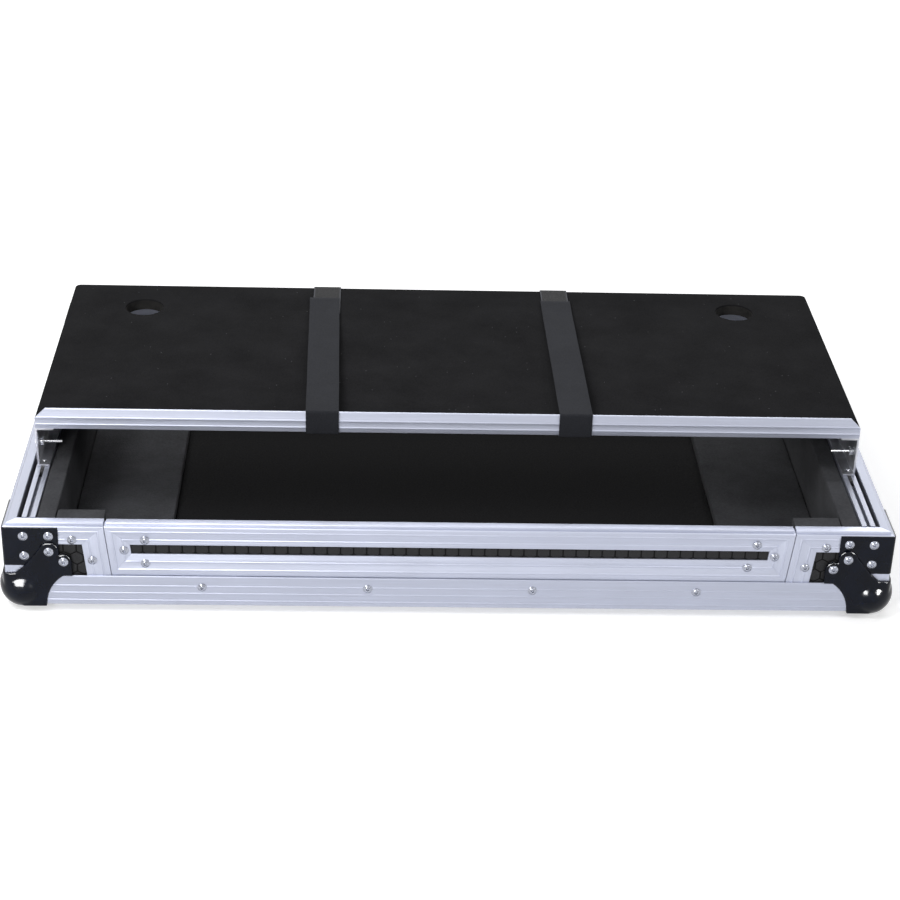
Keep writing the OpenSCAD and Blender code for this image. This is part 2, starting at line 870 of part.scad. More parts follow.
module right_foam_block() { color(foam_grey) foam_block(); }
module left_foam_block() { color(foam_grey) mirror([1, 0, 0]) foam_block(); }

// Removable front panel: a board framed by four mitred channels

function foot_top_x() = panel_seam_x(panel_slot_z) - panel_end_w;
function head_low_x() = panel_seam_x(rim_z) - panel_end_w;

module panel_board() {
    web = upright_web - panel_gap;
    color(laminate_black) difference() {
        on_side(0) slab(panel_out + skin_t, panel_out + skin_t + panel_ply_t) polygon([
            [-panel_seam_x(panel_z) + web, panel_z + skin_t],
            [panel_seam_x(panel_z) - web, panel_z + skin_t],
            [panel_seam_x(ply_top) - web, ply_top], [-panel_seam_x(ply_top) + web, ply_top]]);
        on_side(0) panel_bores();
    }
}

module panel_top_outline() {
    end_x = panel_seam_x(side_h);
    tongue_x = end_x - tongue_back;
    polygon([[-head_low_x(), rim_z - cut], [-head_low_x(), rim_z], [-end_x, side_h],
        [-tongue_x, side_h], [-tongue_x, rim_top + cut], [tongue_x, rim_top + cut],
        [tongue_x, side_h], [end_x, side_h], [head_low_x(), rim_z], [head_low_x(), rim_z - cut]]);
}

module panel_top_rail() {
    color(aluminium) difference() {
        on_side(0) intersection() {
            translate([0, panel_out, 0]) bar(-case_w / 2, case_w / 2)
                polygon(panel_rim_section());
            slab(-cut, wall_t) panel_top_outline();
        }
        on_side(0) panel_bores();
    }
}

// Section of the panel's top rail, which carries the rim's line across the opening
function panel_rim_section() = concat(
    [[skin_t, rim_z], [0, rim_z]],
    ribs(0, rib_levels(rim_z + rim_rib_first, rim_rib_step, 2)),
    [[0, side_h - edge_break], [edge_break, side_h], [ledge_w, side_h],
     [ledge_w, rim_top - edge_break], [ledge_w + edge_break, rim_top],
     [panel_t - edge_break, rim_top], [panel_t, rim_top - edge_break], [panel_t, rim_z],
     [panel_t - skin_t, rim_z], [panel_t - skin_t, ply_top], [skin_t, ply_top]]);

function panel_foot_section() = concat(
    [[0, panel_z + edge_break]],
    ribs(0, rib_levels(panel_slot_z - foot_rib_first - foot_rib_step, foot_rib_step, 2)),
    [[0, panel_slot_z], [skin_t, panel_slot_z], [skin_t, panel_z + skin_t],
     [panel_t - skin_t, panel_z + skin_t], [panel_t - skin_t, panel_slot_z],
     [panel_t, panel_slot_z], [panel_t, panel_z], [edge_break, panel_z]]);

// The mitre runs from the slot's corner to the panel's edge at the bottom angle's top.
module panel_foot_outline() {
    low_x = panel_seam_x(angle_leg);
    polygon([[-panel_seam_x(panel_z), panel_z - cut], [-low_x, angle_leg],
        [-foot_top_x(), panel_slot_z], [-foot_top_x(), panel_slot_z + cut],
        [foot_top_x(), panel_slot_z + cut], [foot_top_x(), panel_slot_z],
        [low_x, angle_leg], [panel_seam_x(panel_z), panel_z - cut]]);
}

module panel_bottom_rail() {
    color(aluminium) difference() {
        on_side(0) intersection() {
            translate([0, panel_out, 0]) bar(-case_w / 2, case_w / 2)
                polygon(panel_foot_section());
            slab(-cut, wall_t) panel_foot_outline();
        }
        on_side(0) panel_bores();
    }
}

module panel_end_outline() {
    polygon([[panel_seam_x(angle_leg), angle_leg], [panel_seam_x(side_h), side_h],
        [head_low_x(), rim_z], [foot_top_x(), panel_slot_z]]);
}

// A strip inside the panel's slanted edge
module panel_strip(in0, in1, z0, z1) {
    polygon([[panel_seam_x(z0) - in1, z0], [panel_seam_x(z0) - in0, z0],
        [panel_seam_x(z1) - in0, z1], [panel_seam_x(z1) - in1, z1]]);
}

// The key stops below the slot, so that the panel can lift straight out of its opening.
module panel_end() {
    mid = wall_t / 2;
    web = upright_web - panel_gap;
    low = panel_z + skin_t;
    difference() {
        on_side(0) union() {
            slab(panel_out, panel_out + skin_t) panel_end_outline();
            intersection() {
                leaning_ribs(-panel_end_w * rib_shares - [panel_gap, panel_gap], panel_out);
                slab(-cut, skin_t + panel_out) panel_end_outline();
            }
            slab(panel_out + panel_t - skin_t, panel_out + panel_t) panel_end_outline();
            slab(panel_out + skin_t, panel_out + panel_t - skin_t)
                panel_strip(0, web, low, ply_top);
            slab(mid - key_w / 2, mid + key_w / 2)
                panel_strip(-key_out - panel_gap, 0, low, panel_slot_z);
        }
        on_side(0) panel_bores();
    }
}

module panel_right_end() { color(aluminium) panel_end(); }
module panel_left_end() { color(aluminium) mirror([1, 0, 0]) panel_end(); }

module panel_rivets() {
    color(aluminium) on_side(0) rivets_at(panel_spots(), panel_out);
}

// Glide shelf

module shelf_plan() {
    r = shelf_corner_r;
    difference() {
        union() {
            translate([-shelf_w / 2, shelf_front]) square([shelf_w, shelf_d - r]);
            translate([r - shelf_w / 2, shelf_front]) square([shelf_w - 2 * r, shelf_d]);
            for (s = [-1, 1]) translate([s * (shelf_w / 2 - r), shelf_rear - r]) circle(r);
        }
        for (p = hole_spots) translate(p) circle(d = cable_hole_d);
    }
}

module shelf_board() {
    color(plywood) in_case() difference() {
        translate([0, 0, board_z]) linear_extrude(board_t) shelf_plan();
        block([-shelf_w, shelf_front - cut, trim_key_z - trim_key_t / 2],
            [shelf_w, shelf_front + trim_key_d, trim_key_z + trim_key_t / 2]);
        screw_bores();
    }
}

module shelf_felt() {
    color(felt_black) in_case() translate([0, 0, felt_z]) linear_extrude(felt_t) shelf_plan();
}

module shelf_trim() {
    ramp = lip_h;
    color(aluminium) in_case() {
        intersection() {
            bar(-shelf_w / 2, shelf_w / 2) translate([shelf_front - trim_t, 0]) polygon(concat(
                [[0, trim_z]], ribs(0, rib_levels(trim_z + trim_rib_first, trim_rib_step, 2)),
                [[0, trim_top - edge_break], [edge_break, trim_top], [trim_t, trim_top],
                 [trim_t, trim_z]]));
            slab(shelf_front - trim_t - cut, shelf_front + cut) polygon([
                [-shelf_w / 2, trim_z], [shelf_w / 2, trim_z], [shelf_w / 2, trim_top - ramp],
                [shelf_w / 2 - ramp, trim_top], [ramp - shelf_w / 2, trim_top],
                [-shelf_w / 2, trim_top - ramp]]);
        }
        block([-shelf_w / 2, shelf_front, trim_key_z - trim_key_t / 2],
            [shelf_w / 2, shelf_front + trim_key_d, trim_key_z + trim_key_t / 2]);
    }
}

// The bracket: a top flange under the board, a web and a foot over the rail
module bracket() {
    x1 = bracket_x;
    t = bracket_t;
    in_case() difference() {
        union() {
            block([x1 - t, shelf_front, foot_z], [x1, shelf_front + bracket_l, board_z]);
            block([x1 - flange_w, shelf_front, board_z - t],
                [x1, shelf_front + bracket_l, board_z]);
            block([x1 - foot_w, shelf_front, foot_z],
                [x1, shelf_front + bracket_l, foot_z + t]);
        }
        screw_bores();
        translate([x1 - t - cut, shelf_front + stop_screw_in, stop_screw_z])
            rotate([0, 90, 0]) cylinder(d = stop_screw_d, h = t + 2 * cut);
    }
}

module right_bracket() { color(aluminium) bracket(); }
module left_bracket() { color(aluminium) mirror([1, 0, 0]) bracket(); }

// Places of the screws that go up into the board, and of those that hold the shoes
flange_screw_x = bracket_x - bracket_t - (flange_w - bracket_t) * 0.55;
flange_screw_y = [for (s = flange_screws_shares) shelf_front + s * bracket_l];
rail_mid_x = (rail_in_x + rail_out_x) / 2;
shoe_front = shelf_front - shoe_nose;
shoe_rear = shelf_front + bracket_l - shoe_l;
shoe_screw_y = [shoe_front + shoe_nose + screw_head_d, shoe_rear + shoe_l / 2];

module up_screw(grow) {
    cylinder(d = screw_shank_d, h = bracket_t + screw_bite + grow);
}

module screw_bores() {
    for (s = [-1, 1]) {
        for (y = flange_screw_y) translate([s * flange_screw_x, y, board_z - bracket_t])
            up_screw(0);
        for (y = shoe_screw_y) translate([s * rail_mid_x, y, foot_z - shoe_screw_t]) {
            cylinder(d = screw_shank_d, h = bracket_t + shoe_screw_t);
            translate([0, 0, bracket_t + shoe_screw_t - flush_head_t])
                cylinder(d = flush_head_d + 2 * shoe_clear, h = flush_head_t + cut);
        }
    }
}

// Board screws point up from below the flange. Shoe screws point down into the shoes, with
// their heads flush in the foot.
module shelf_screws() {
    color(aluminium) in_case() for (s = [-1, 1]) {
        for (y = flange_screw_y) translate([s * flange_screw_x, y, board_z - bracket_t]) {
            up_screw(0);
            translate([0, 0, -screw_head_t]) cylinder(d = screw_head_d, h = screw_head_t);
        }
        for (y = shoe_screw_y) translate([s * rail_mid_x, y, foot_z - shoe_screw_t]) {
            cylinder(d = screw_shank_d - 2 * shoe_clear, h = bracket_t + shoe_screw_t);
            translate([0, 0, bracket_t + shoe_screw_t - flush_head_t])
                cylinder(d = flush_head_d, h = flush_head_t);
        }
    }
}

// Four shoes run in the rails' slots and hold the shelf down.
module slider_shoes() {
    head_top = rail_top - slot_d - shoe_clear;
    color(aluminium) in_case() difference() {
        for (s = [-1, 1], y = [shoe_front, shoe_rear]) translate([s * rail_mid_x, y, 0]) {
            block([-shoe_stem_w / 2, 0, head_top - shoe_head_h],
                [shoe_stem_w / 2, shoe_l, foot_z]);
            block([-shoe_head_w / 2, 0, head_top - shoe_head_h],
                [shoe_head_w / 2, shoe_l, head_top]);
        }
        for (s = [-1, 1], y = shoe_screw_y) translate([s * rail_mid_x, y, foot_z - shoe_screw_t])
            cylinder(d = screw_shank_d - 2 * shoe_clear, h = shoe_screw_t + cut);
    }
}

module stop_screw() {
    length = bracket_t + stop_screw_l;
    in_case() translate([bracket_x, shelf_front + stop_screw_in, stop_screw_z])
        rotate([0, -90, 0]) {
            cylinder(d = stop_screw_d, h = length);
            translate([0, 0, -stop_head_t]) cylinder(d = stop_head_d, h = stop_head_t);
        }
}

module stop_screws() {
    color(aluminium) for (s = [0, 1]) mirror([s, 0, 0]) stop_screw();
}

module stop_nuts() {
    color(aluminium) for (s = [0, 1]) mirror([s, 0, 0]) in_case()
        translate([bracket_x - bracket_t, shelf_front + stop_screw_in, stop_screw_z])
            rotate([0, -90, 0]) difference() {
                cylinder(d = stop_nut_d, h = stop_nut_t, $fn = 6);
                translate([0, 0, -cut]) cylinder(d = stop_screw_d, h = stop_nut_t + 2 * cut);
            }
}

// Straps

// The hook tape lies on the felt behind, turns down the rear edge and runs forward below.
module hook_tape(x) {
    t = tape_t;
    rear = shelf_rear;
    color(strap_grey) in_case() union() {
        block([x - tape_w / 2, rear - tape_top_l, shelf_top],
            [x + tape_w / 2, rear + t, shelf_top + t]);
        block([x - tape_w / 2, rear, board_z - t], [x + tape_w / 2, rear + t, shelf_top]);
        block([x - tape_w / 2, tape_front_y, board_z - t], [x + tape_w / 2, rear, board_z]);
    }
}

module left_hook_tape() { hook_tape(-strap_left_x); }
module right_hook_tape() { hook_tape(strap_right_x); }

// The strap starts on the hook tape, rises straight to the trim's lip, turns down the
// trim's face and runs back under the board to the tape.
module strap(x) {
    t = strap_t;
    tape_top = shelf_top + tape_t;
    bend_y = strap_rear_y - strap_flat;
    front = strap_front_y;
    color(strap_grey) in_case() bar(x - strap_w / 2, x + strap_w / 2) union() {
        polygon([[strap_rear_y, tape_top], [strap_rear_y, tape_top + t],
            [bend_y, tape_top + t], [shelf_front, trim_top + t], [front - t, trim_top + t],
            [front - t, trim_top], [shelf_front, trim_top], [bend_y, tape_top]]);
        translate([front - t, board_z - t]) square([t, trim_top - board_z + 2 * t]);
        translate([front - t, board_z - t]) square([tape_front_y - front + t, t]);
    }
}

module left_strap() { strap(-strap_left_x); }
module right_strap() { strap(strap_right_x); }

floor_panel();
front_wall();
rear_wall();
left_side_wall();
right_side_wall();
left_rim();
right_rim();
rear_rim();
front_left_rim();
front_right_rim();
front_bottom_angle();
rear_bottom_angle();
left_bottom_angle();
right_bottom_angle();
corner_posts();
left_front_upright();
right_front_upright();
front_left_ball_corner();
front_right_ball_corner();
rear_left_ball_corner();
rear_right_ball_corner();
front_left_brace();
front_right_brace();
rear_left_brace();
rear_right_brace();
edge_rivets();
brace_rivets();
ball_corner_rivets();
left_rail_support();
right_rail_support();
left_glide_rail();
right_glide_rail();
left_foam();
right_foam();
rear_foam();
front_left_foam();
front_right_foam();
floor_mat();
left_foam_block();
right_foam_block();
panel_board();
panel_top_rail();
panel_bottom_rail();
panel_left_end();
panel_right_end();
panel_rivets();
shelf_board();
shelf_felt();
shelf_trim();
left_bracket();
right_bracket();
shelf_screws();
slider_shoes();
stop_screws();
stop_nuts();
left_hook_tape();
right_hook_tape();
left_strap();
right_strap();
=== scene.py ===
import json
import math
import random

import bmesh
import bpy
from mathutils import Matrix, Vector, noise

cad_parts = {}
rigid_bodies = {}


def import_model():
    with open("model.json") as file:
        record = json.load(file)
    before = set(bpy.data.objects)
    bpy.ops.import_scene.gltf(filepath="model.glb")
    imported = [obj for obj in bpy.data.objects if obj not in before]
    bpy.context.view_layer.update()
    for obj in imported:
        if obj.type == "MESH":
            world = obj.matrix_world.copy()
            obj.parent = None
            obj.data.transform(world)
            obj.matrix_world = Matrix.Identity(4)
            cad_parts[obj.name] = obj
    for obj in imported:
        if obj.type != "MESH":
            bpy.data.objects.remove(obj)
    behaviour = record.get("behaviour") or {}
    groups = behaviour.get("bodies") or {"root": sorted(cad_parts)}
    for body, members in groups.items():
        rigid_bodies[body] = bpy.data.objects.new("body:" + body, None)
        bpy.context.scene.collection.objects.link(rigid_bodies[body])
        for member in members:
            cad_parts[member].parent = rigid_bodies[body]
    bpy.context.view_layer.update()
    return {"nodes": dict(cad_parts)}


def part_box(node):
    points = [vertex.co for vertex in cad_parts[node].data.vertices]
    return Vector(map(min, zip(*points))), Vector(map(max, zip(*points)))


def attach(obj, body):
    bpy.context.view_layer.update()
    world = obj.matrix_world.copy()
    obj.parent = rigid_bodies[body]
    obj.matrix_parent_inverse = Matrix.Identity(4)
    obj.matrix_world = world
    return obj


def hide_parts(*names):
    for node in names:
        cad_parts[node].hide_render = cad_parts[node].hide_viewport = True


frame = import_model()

bl_info = {
    "name": "Flight case tray",
    "version": (1, 0, 0),
    "blender": (4, 5, 0),
    "location": "3D View > Sidebar > Flight case",
    "description": "Dresses the flight case tray and its glide shelf in their finishes",
    "category": "Object",
}

MM = 0.001
NODES = frame["nodes"]

# Vertices of a CAD node that lie closer than this are one vertex
WELD = 0.005 * MM


# Sizes and colours

def length(name, description, default):
    return bpy.props.FloatProperty(name=name, description=description, default=default,
                                   min=0.0, subtype="DISTANCE", unit="LENGTH")


def colour(name, description, default):
    return bpy.props.FloatVectorProperty(name=name, description=description, default=default,
                                         size=3, min=0.0, max=1.0, subtype="COLOR")


class TraySizes(bpy.types.PropertyGroup):
    edge_round: length("Edge round", "Rounding of the extrusions' cut edges", 0.25 * MM)
    steel_voxel: length("Steel detail", "Grid on which the ball corners are blended", 0.9 * MM)
    foam_round: length("Foam round", "Rounding of the foam's edges", 1.6 * MM)
    felt_round: length("Felt round", "Rounding of the felt's edges", 0.9 * MM)
    cell: length("Laminate cell", "Width of one hexagon of the laminate", 11.8 * MM)


class TrayColours(bpy.types.PropertyGroup):
    aluminium: colour("Aluminium", "Brushed aluminium of the extrusions", (0.48, 0.505, 0.605))
    sheet: colour("Bracket", "Polished aluminium of the brackets", (0.60, 0.61, 0.65))
    steel: colour("Black steel", "Gloss black of the ball corners and braces",
                  (0.0015, 0.0030, 0.0085))
    felt: colour("Felt", "Black felt of the shelf", (0.0130, 0.0130, 0.0140))
    webbing: colour("Strap", "Dark grey of the straps", (0.021, 0.022, 0.026))
    foam: colour("Foam", "Dark grey of the foam", (0.050, 0.051, 0.056))
    mat: colour("Mat", "Black of the floor mat", (0.0150, 0.0150, 0.0160))
    laminate: colour("Laminate", "Black of the walls", (0.022, 0.022, 0.0235))


def sizes():
    return bpy.context.scene.tray_sizes


def colours():
    return bpy.context.scene.tray_colours


# Materials

def scaled(rgb, k):
    """A colour times k, with its alpha."""
    return (min(1.0, rgb[0] * k), min(1.0, rgb[1] * k), min(1.0, rgb[2] * k), 1.0)


class Finish:
    """A node material on Object coordinates that is built up step by step."""

    def __init__(self, name, roughness=0.5, metallic=0.0, **sockets):
        self.mat = bpy.data.materials.new(name)
        self.mat.use_nodes = True
        self.tree = self.mat.node_tree
        self.shader = self.tree.nodes["Principled BSDF"]
        self.shader.inputs["Roughness"].default_value = roughness
        self.shader.inputs["Metallic"].default_value = metallic
        for socket, value in sockets.items():
            self.shader.inputs[socket.replace("_", " ")].default_value = value
        self.coords = self.add("ShaderNodeTexCoord").outputs["Object"]

    def add(self, kind, inputs=None, **settings):
        made = self.tree.nodes.new(kind)
        for key, value in settings.items():
            setattr(made, key, value)
        for key, value in (inputs or {}).items():
            if isinstance(value, bpy.types.NodeSocket):
                self.tree.links.new(value, made.inputs[key])
            else:
                made.inputs[key].default_value = value
        return made

    def mapped(self, scale=(1, 1, 1), centre=(0, 0, 0), turn=(0, 0, 0)):
        place = Vector(-c * s for c, s in zip(centre, scale))
        return self.add("ShaderNodeMapping", {"Vector": self.coords, "Location": place,
                                              "Scale": scale, "Rotation": turn}).outputs[0]

    def noise(self, scale, detail=2.0, rough=0.5, vector=None, stretch=(1, 1, 1)):
        vector = vector or self.mapped(stretch)
        return self.add("ShaderNodeTexNoise", {"Vector": vector, "Scale": scale, "Detail": detail,
                                               "Roughness": rough}).outputs[0]

    def spread(self, value, low, high, to_low=0.0, to_high=1.0):
        return self.add("ShaderNodeMapRange", {0: value, 1: low, 2: high, 3: to_low,
                                               4: to_high}).outputs[0]

    def maths(self, operation, a, b=0.0):
        return self.add("ShaderNodeMath", {0: a, 1: b}, operation=operation).outputs[0]

    def blend(self, a, share_a, b, share_b):
        """The sum of two patterns, each times its share."""
        return self.maths("ADD", self.maths("MULTIPLY", a, share_a),
                          self.maths("MULTIPLY", b, share_b))

    def vectors(self, operation, a, b=(0, 0, 0), c=(0, 0, 0), output=0):
        inputs = {0: a, 1: b}
        if operation == "WRAP":
            inputs[2] = c
        return self.add("ShaderNodeVectorMath", inputs, operation=operation).outputs[output]

    def ramp(self, value, *stops):
        made = self.add("ShaderNodeValToRGB", {0: value})
        points = made.color_ramp.elements
        while len(points) < len(stops):
            points.new(0.5)
        for point, (at, rgba) in zip(points, stops):
            point.position = at
            point.color = rgba
        return made.outputs[0]

    def mix(self, factor, a, b):
        return self.add("ShaderNodeMix", {0: factor, 6: a, 7: b}, data_type="RGBA").outputs[2]

    def feed(self, socket, value):
        self.tree.links.new(value, self.shader.inputs[socket])
        return self

    def bump(self, height, distance, strength=1.0):
        made = self.add("ShaderNodeBump", {"Height": height, "Distance": distance,
                                           "Strength": strength})
        return self.feed("Normal", made.outputs[0])


_finishes = {}


def finish(maker):
    """Keeps one material for each maker and its arguments."""
    def kept(*args):
        key = (maker.__name__,) + args
        if key not in _finishes:
            _finishes[key] = maker(*args).mat
        return _finishes[key]
    return kept


AXES = {"X": 0, "Y": 1, "Z": 2}


def streaks(made, along, fine, long):
    """Noise drawn out along one axis, as brushing is."""
    stretch = [fine, fine, fine]
    stretch[AXES[along]] = long
    return made.noise(1.0, 3.0, 0.6, stretch=tuple(stretch))


@finish
def brushed_aluminium(along, k=1.0, metallic=0.85):
    rgb = [c * k for c in colours().aluminium]
    made = Finish("brushed_aluminium_%s_%d_%d" % (along.lower(), round(100 * k),
                                                  round(100 * metallic)), 0.48, metallic)
    fine = streaks(made, along, 900.0, 14.0)
    broad = streaks(made, along, 120.0, 7.0)
    cloud = made.noise(28.0, 3.0)
    tone = made.maths("ADD", made.maths("MULTIPLY", fine, 0.5),
                      made.blend(broad, 0.3, cloud, 0.2))
    made.feed("Base Color", made.ramp(tone, (0.3, scaled(rgb, 0.90)), (0.7, scaled(rgb, 1.06))))
    made.feed("Roughness", made.spread(tone, 0.3, 0.7, 0.40, 0.50))
    return made.bump(fine, 0.00003, 0.35)


@finish
def bracket_aluminium():
    rgb = colours().sheet
    made = Finish("bracket_aluminium", 0.42, 1.0)
    fine = streaks(made, "Y", 700.0, 20.0)
    cloud = made.noise(45.0, 3.0)
    made.feed("Base Color", made.ramp(cloud, (0.35, scaled(rgb, 0.8)), (0.7, scaled(rgb, 1.25))))
    made.feed("Roughness", made.spread(fine, 0.3, 0.7, 0.34, 0.5))
    return made.bump(fine, 0.00003, 0.3)


@finish
def rivet_aluminium():
    made = Finish("rivet_aluminium", 0.3, 1.0)
    grain = made.noise(900.0, 2.0)
    made.feed("Base Color", made.ramp(grain, (0.3, (0.28, 0.29, 0.34, 1)),
                                      (0.7, (0.40, 0.42, 0.48, 1))))
    made.feed("Roughness", made.spread(grain, 0.3, 0.7, 0.16, 0.28))
    return made


@finish
def gloss_steel():
    rgb = colours().steel
    made = Finish("gloss_black_steel", 0.1, 0.0, Specular_IOR_Level=0.14)
    cloud = made.noise(60.0, 3.0)
    made.feed("Base Color", made.ramp(cloud, (0.35, scaled(rgb, 0.75)), (0.7, scaled(rgb, 1.3))))
    made.feed("Roughness", made.spread(made.noise(260.0, 3.0), 0.3, 0.75, 0.10, 0.20))
    return made.bump(made.noise(320.0, 2.0), 0.0003, 0.10)


# Centre of one hexagon of the laminate, in the middle of the slot
CELL_CENTRE = (-0.1645, 0.0, 0.0652)


@finish
def laminate(across):
    """Hexagons with points up and down, on the plane of across and Z."""
    rgb = colours().laminate
    made = Finish("laminate_" + across.lower(), 0.38, 0.0, Specular_IOR_Level=0.15)
    cell = 1.0 / sizes().cell
    turn = (0, 0, 0) if across == "X" else (0, 0, math.radians(-90))
    spot = made.mapped((cell, cell, cell), CELL_CENTRE if across == "X" else (0, 0, 0), turn)
    flat = made.vectors("MULTIPLY", spot, (1, 0, 1))
    step = Vector((1.0, 1.0, math.sqrt(3.0)))
    half = step / 2
    one = made.vectors("WRAP", flat, half, -half)
    two = made.vectors("WRAP", made.vectors("SUBTRACT", flat, (half.x, 0, half.z)), half, -half)
    near_one = made.maths("LESS_THAN", made.vectors("LENGTH", one, output=1),
                          made.vectors("LENGTH", two, output=1))
    picked = made.add("ShaderNodeMix", {0: near_one, 4: two, 5: one},
                      data_type="VECTOR").outputs[1]
    side = made.vectors("ABSOLUTE", picked)
    slant = made.vectors("DOT_PRODUCT", side, (0.5, 0.0, math.sqrt(3.0) / 2), output=1)
    upright = made.vectors("DOT_PRODUCT", side, (1.0, 0.0, 0.0), output=1)
    edge = made.maths("MAXIMUM", slant, upright)
    joint = made.spread(edge, 0.43, 0.47)
    grain = made.noise(1500.0, 2.0)
    skin = made.ramp(grain, (0.3, scaled(rgb, 0.7)), (0.7, scaled(rgb, 1.35)))
    made.feed("Base Color", made.mix(joint, skin, scaled(rgb, 0.12)))
    made.feed("Roughness", made.spread(joint, 0.0, 1.0, 0.36, 0.8))
    height = made.maths("SUBTRACT", made.maths("MULTIPLY", grain, 0.08), joint)
    return made.bump(height, 0.0005, 0.9)


@finish
def raw_plywood():
    made = Finish("raw_plywood", 0.75)
    layers = made.add("ShaderNodeTexWave", {"Vector": made.mapped((1, 0.02, 1)), "Scale": 95.0,
                                            "Distortion": 0.6, "Detail": 1.0},
                      wave_type="BANDS", bands_direction="Z").outputs[1]
    grain = made.noise(500.0, 3.0, stretch=(1, 0.08, 1))
    wood = made.ramp(grain, (0.3, (0.085, 0.075, 0.045, 1)), (0.7, (0.21, 0.18, 0.11, 1)))
    made.feed("Base Color", made.mix(made.maths("MULTIPLY", layers, 0.5), wood,
                                     (0.05, 0.04, 0.025, 1)))
    return made.bump(grain, 0.0003, 0.4)


@finish
def foam_skin(name, k):
    rgb = colours().foam
    made = Finish(name, 0.92, 0.0, Specular_IOR_Level=0.05, Sheen_Weight=0.03,
                  Sheen_Roughness=0.6)
    cells = made.add("ShaderNodeTexVoronoi", {"Vector": made.mapped(), "Scale": 1100.0}).outputs[0]
    cloud = made.noise(35.0, 4.0, 0.6)
    pits = made.noise(420.0, 3.0, 0.65)
    tone = made.blend(cloud, 0.55, pits, 0.45)
    made.feed("Base Color", made.ramp(tone, (0.32, scaled(rgb, 0.72 * k)),
                                      (0.68, scaled(rgb, 1.25 * k))))
    return made.bump(made.maths("ADD", cells, pits), 0.0005, 0.5)


@finish
def mat_skin():
    rgb = colours().mat
    made = Finish("floor_mat_skin", 0.95, 0.0, Specular_IOR_Level=0.08)
    grain = made.noise(700.0, 3.0, 0.6)
    made.feed("Base Color", made.ramp(grain, (0.3, scaled(rgb, 0.7)), (0.7, scaled(rgb, 1.4))))
    return made.bump(grain, 0.0005, 0.4)


@finish
def black_felt():
    """Matted fibres with a few pale specks of lint."""
    rgb = colours().felt
    made = Finish("black_felt_nap", 0.96, 0.0, Specular_IOR_Level=0.0, Sheen_Weight=0.02,
                  Sheen_Roughness=0.5)
    fibres = made.noise(900.0, 4.0, 0.7)
    cloud = made.noise(22.0, 3.0, 0.6)
    tone = made.blend(fibres, 0.6, cloud, 0.4)
    nap = made.ramp(tone, (0.32, scaled(rgb, 0.62)), (0.70, scaled(rgb, 1.5)))
    lint = made.add("ShaderNodeTexVoronoi", {"Vector": made.mapped(), "Scale": 165.0})
    here = made.maths("LESS_THAN", lint.outputs[0], 0.075)
    rare = made.maths("GREATER_THAN",
                      made.add("ShaderNodeSeparateColor", {0: lint.outputs[1]}).outputs[0], 0.87)
    speck = made.maths("MULTIPLY", made.maths("MULTIPLY", here, rare), 0.16)
    made.feed("Base Color", made.mix(speck, nap, (0.55, 0.56, 0.60, 1)))
    return made.bump(fibres, 0.0006, 0.5)


@finish
def strap_cloth():
    rgb = colours().webbing
    made = Finish("strap_cloth", 0.82, 0.0, Specular_IOR_Level=0.05)
    knit = made.noise(650.0, 3.0, 0.6)
    cloud = made.noise(30.0, 3.0)
    tone = made.blend(knit, 0.6, cloud, 0.4)
    made.feed("Base Color", made.ramp(tone, (0.32, scaled(rgb, 0.8)), (0.68, scaled(rgb, 1.2))))
    return made.bump(knit, 0.0003, 0.4)


@finish
def hook_cloth(centre, half):
    """Black hooks between two pale woven edges."""
    rgb = scaled(colours().webbing, 0.4)
    made = Finish("hook_cloth", 0.7, 0.0, Specular_IOR_Level=0.12)
    rows = made.add("ShaderNodeTexVoronoi", {"Vector": made.mapped(), "Scale": 700.0,
                                             "Randomness": 0.25}).outputs[0]
    hooks = made.ramp(rows, (0.1, scaled(rgb, 1.2)), (0.6, scaled(rgb, 0.55)))
    across = made.add("ShaderNodeSeparateXYZ",
                      {0: made.mapped((1, 1, 1), (centre, 0, 0))}).outputs[0]
    edge = made.spread(made.maths("ABSOLUTE", across), half - 1.6 * MM, half - 1.0 * MM)
    made.feed("Base Color", made.mix(edge, hooks, scaled(colours().webbing, 1.9)))
    return made.bump(rows, 0.0006, 0.7)


@finish
def black_paint():
    made = Finish("black_board_paint", 0.6, 0.0, Specular_IOR_Level=0.2)
    grain = made.noise(260.0, 3.0, stretch=(0.15, 1, 1))
    made.feed("Base Color", made.ramp(grain, (0.3, (0.010, 0.010, 0.010, 1)),
                                      (0.7, (0.024, 0.023, 0.022, 1))))
    return made.bump(grain, 0.0003, 0.3)


@finish
def zinc_steel():
    made = Finish("zinc_steel", 0.28, 1.0)
    grain = made.noise(500.0, 3.0)
    made.feed("Base Color", made.ramp(grain, (0.3, (0.70, 0.71, 0.73, 1)),
                                      (0.7, (0.88, 0.89, 0.92, 1))))
    made.feed("Roughness", made.spread(grain, 0.3, 0.7, 0.2, 0.36))
    return made


@finish
def black_nylon():
    made = Finish("black_nylon_shoe", 0.5)
    grain = made.noise(900.0, 2.0)
    made.feed("Base Color", made.ramp(grain, (0.3, (0.014, 0.014, 0.015, 1)),
                                      (0.7, (0.03, 0.03, 0.032, 1))))
    return made.bump(grain, 0.0001, 0.3)


# Mesh helpers

def merged_copy(node):
    """The CAD node's mesh with its loose triangles joined and its flat faces made whole."""
    bm = bmesh.new()
    bm.from_mesh(NODES[node].data)
    bmesh.ops.remove_doubles(bm, verts=bm.verts, dist=WELD)
    bmesh.ops.dissolve_limit(bm, angle_limit=math.radians(0.5), verts=bm.verts, edges=bm.edges,
                             delimit=set())
    return bm


def keep(bm, name, material, body, smooth=30.0):
    """Makes the mesh a piece of the object that rides on body."""
    mesh = bpy.data.meshes.new(name)
    bm.to_mesh(mesh)
    bm.free()
    piece = bpy.data.objects.new(name, mesh)
    bpy.context.scene.collection.objects.link(piece)
    mesh.materials.append(material)
    if smooth:
        mesh.shade_smooth()
        mesh.set_sharp_from_angle(angle=math.radians(smooth))
    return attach(piece, body)


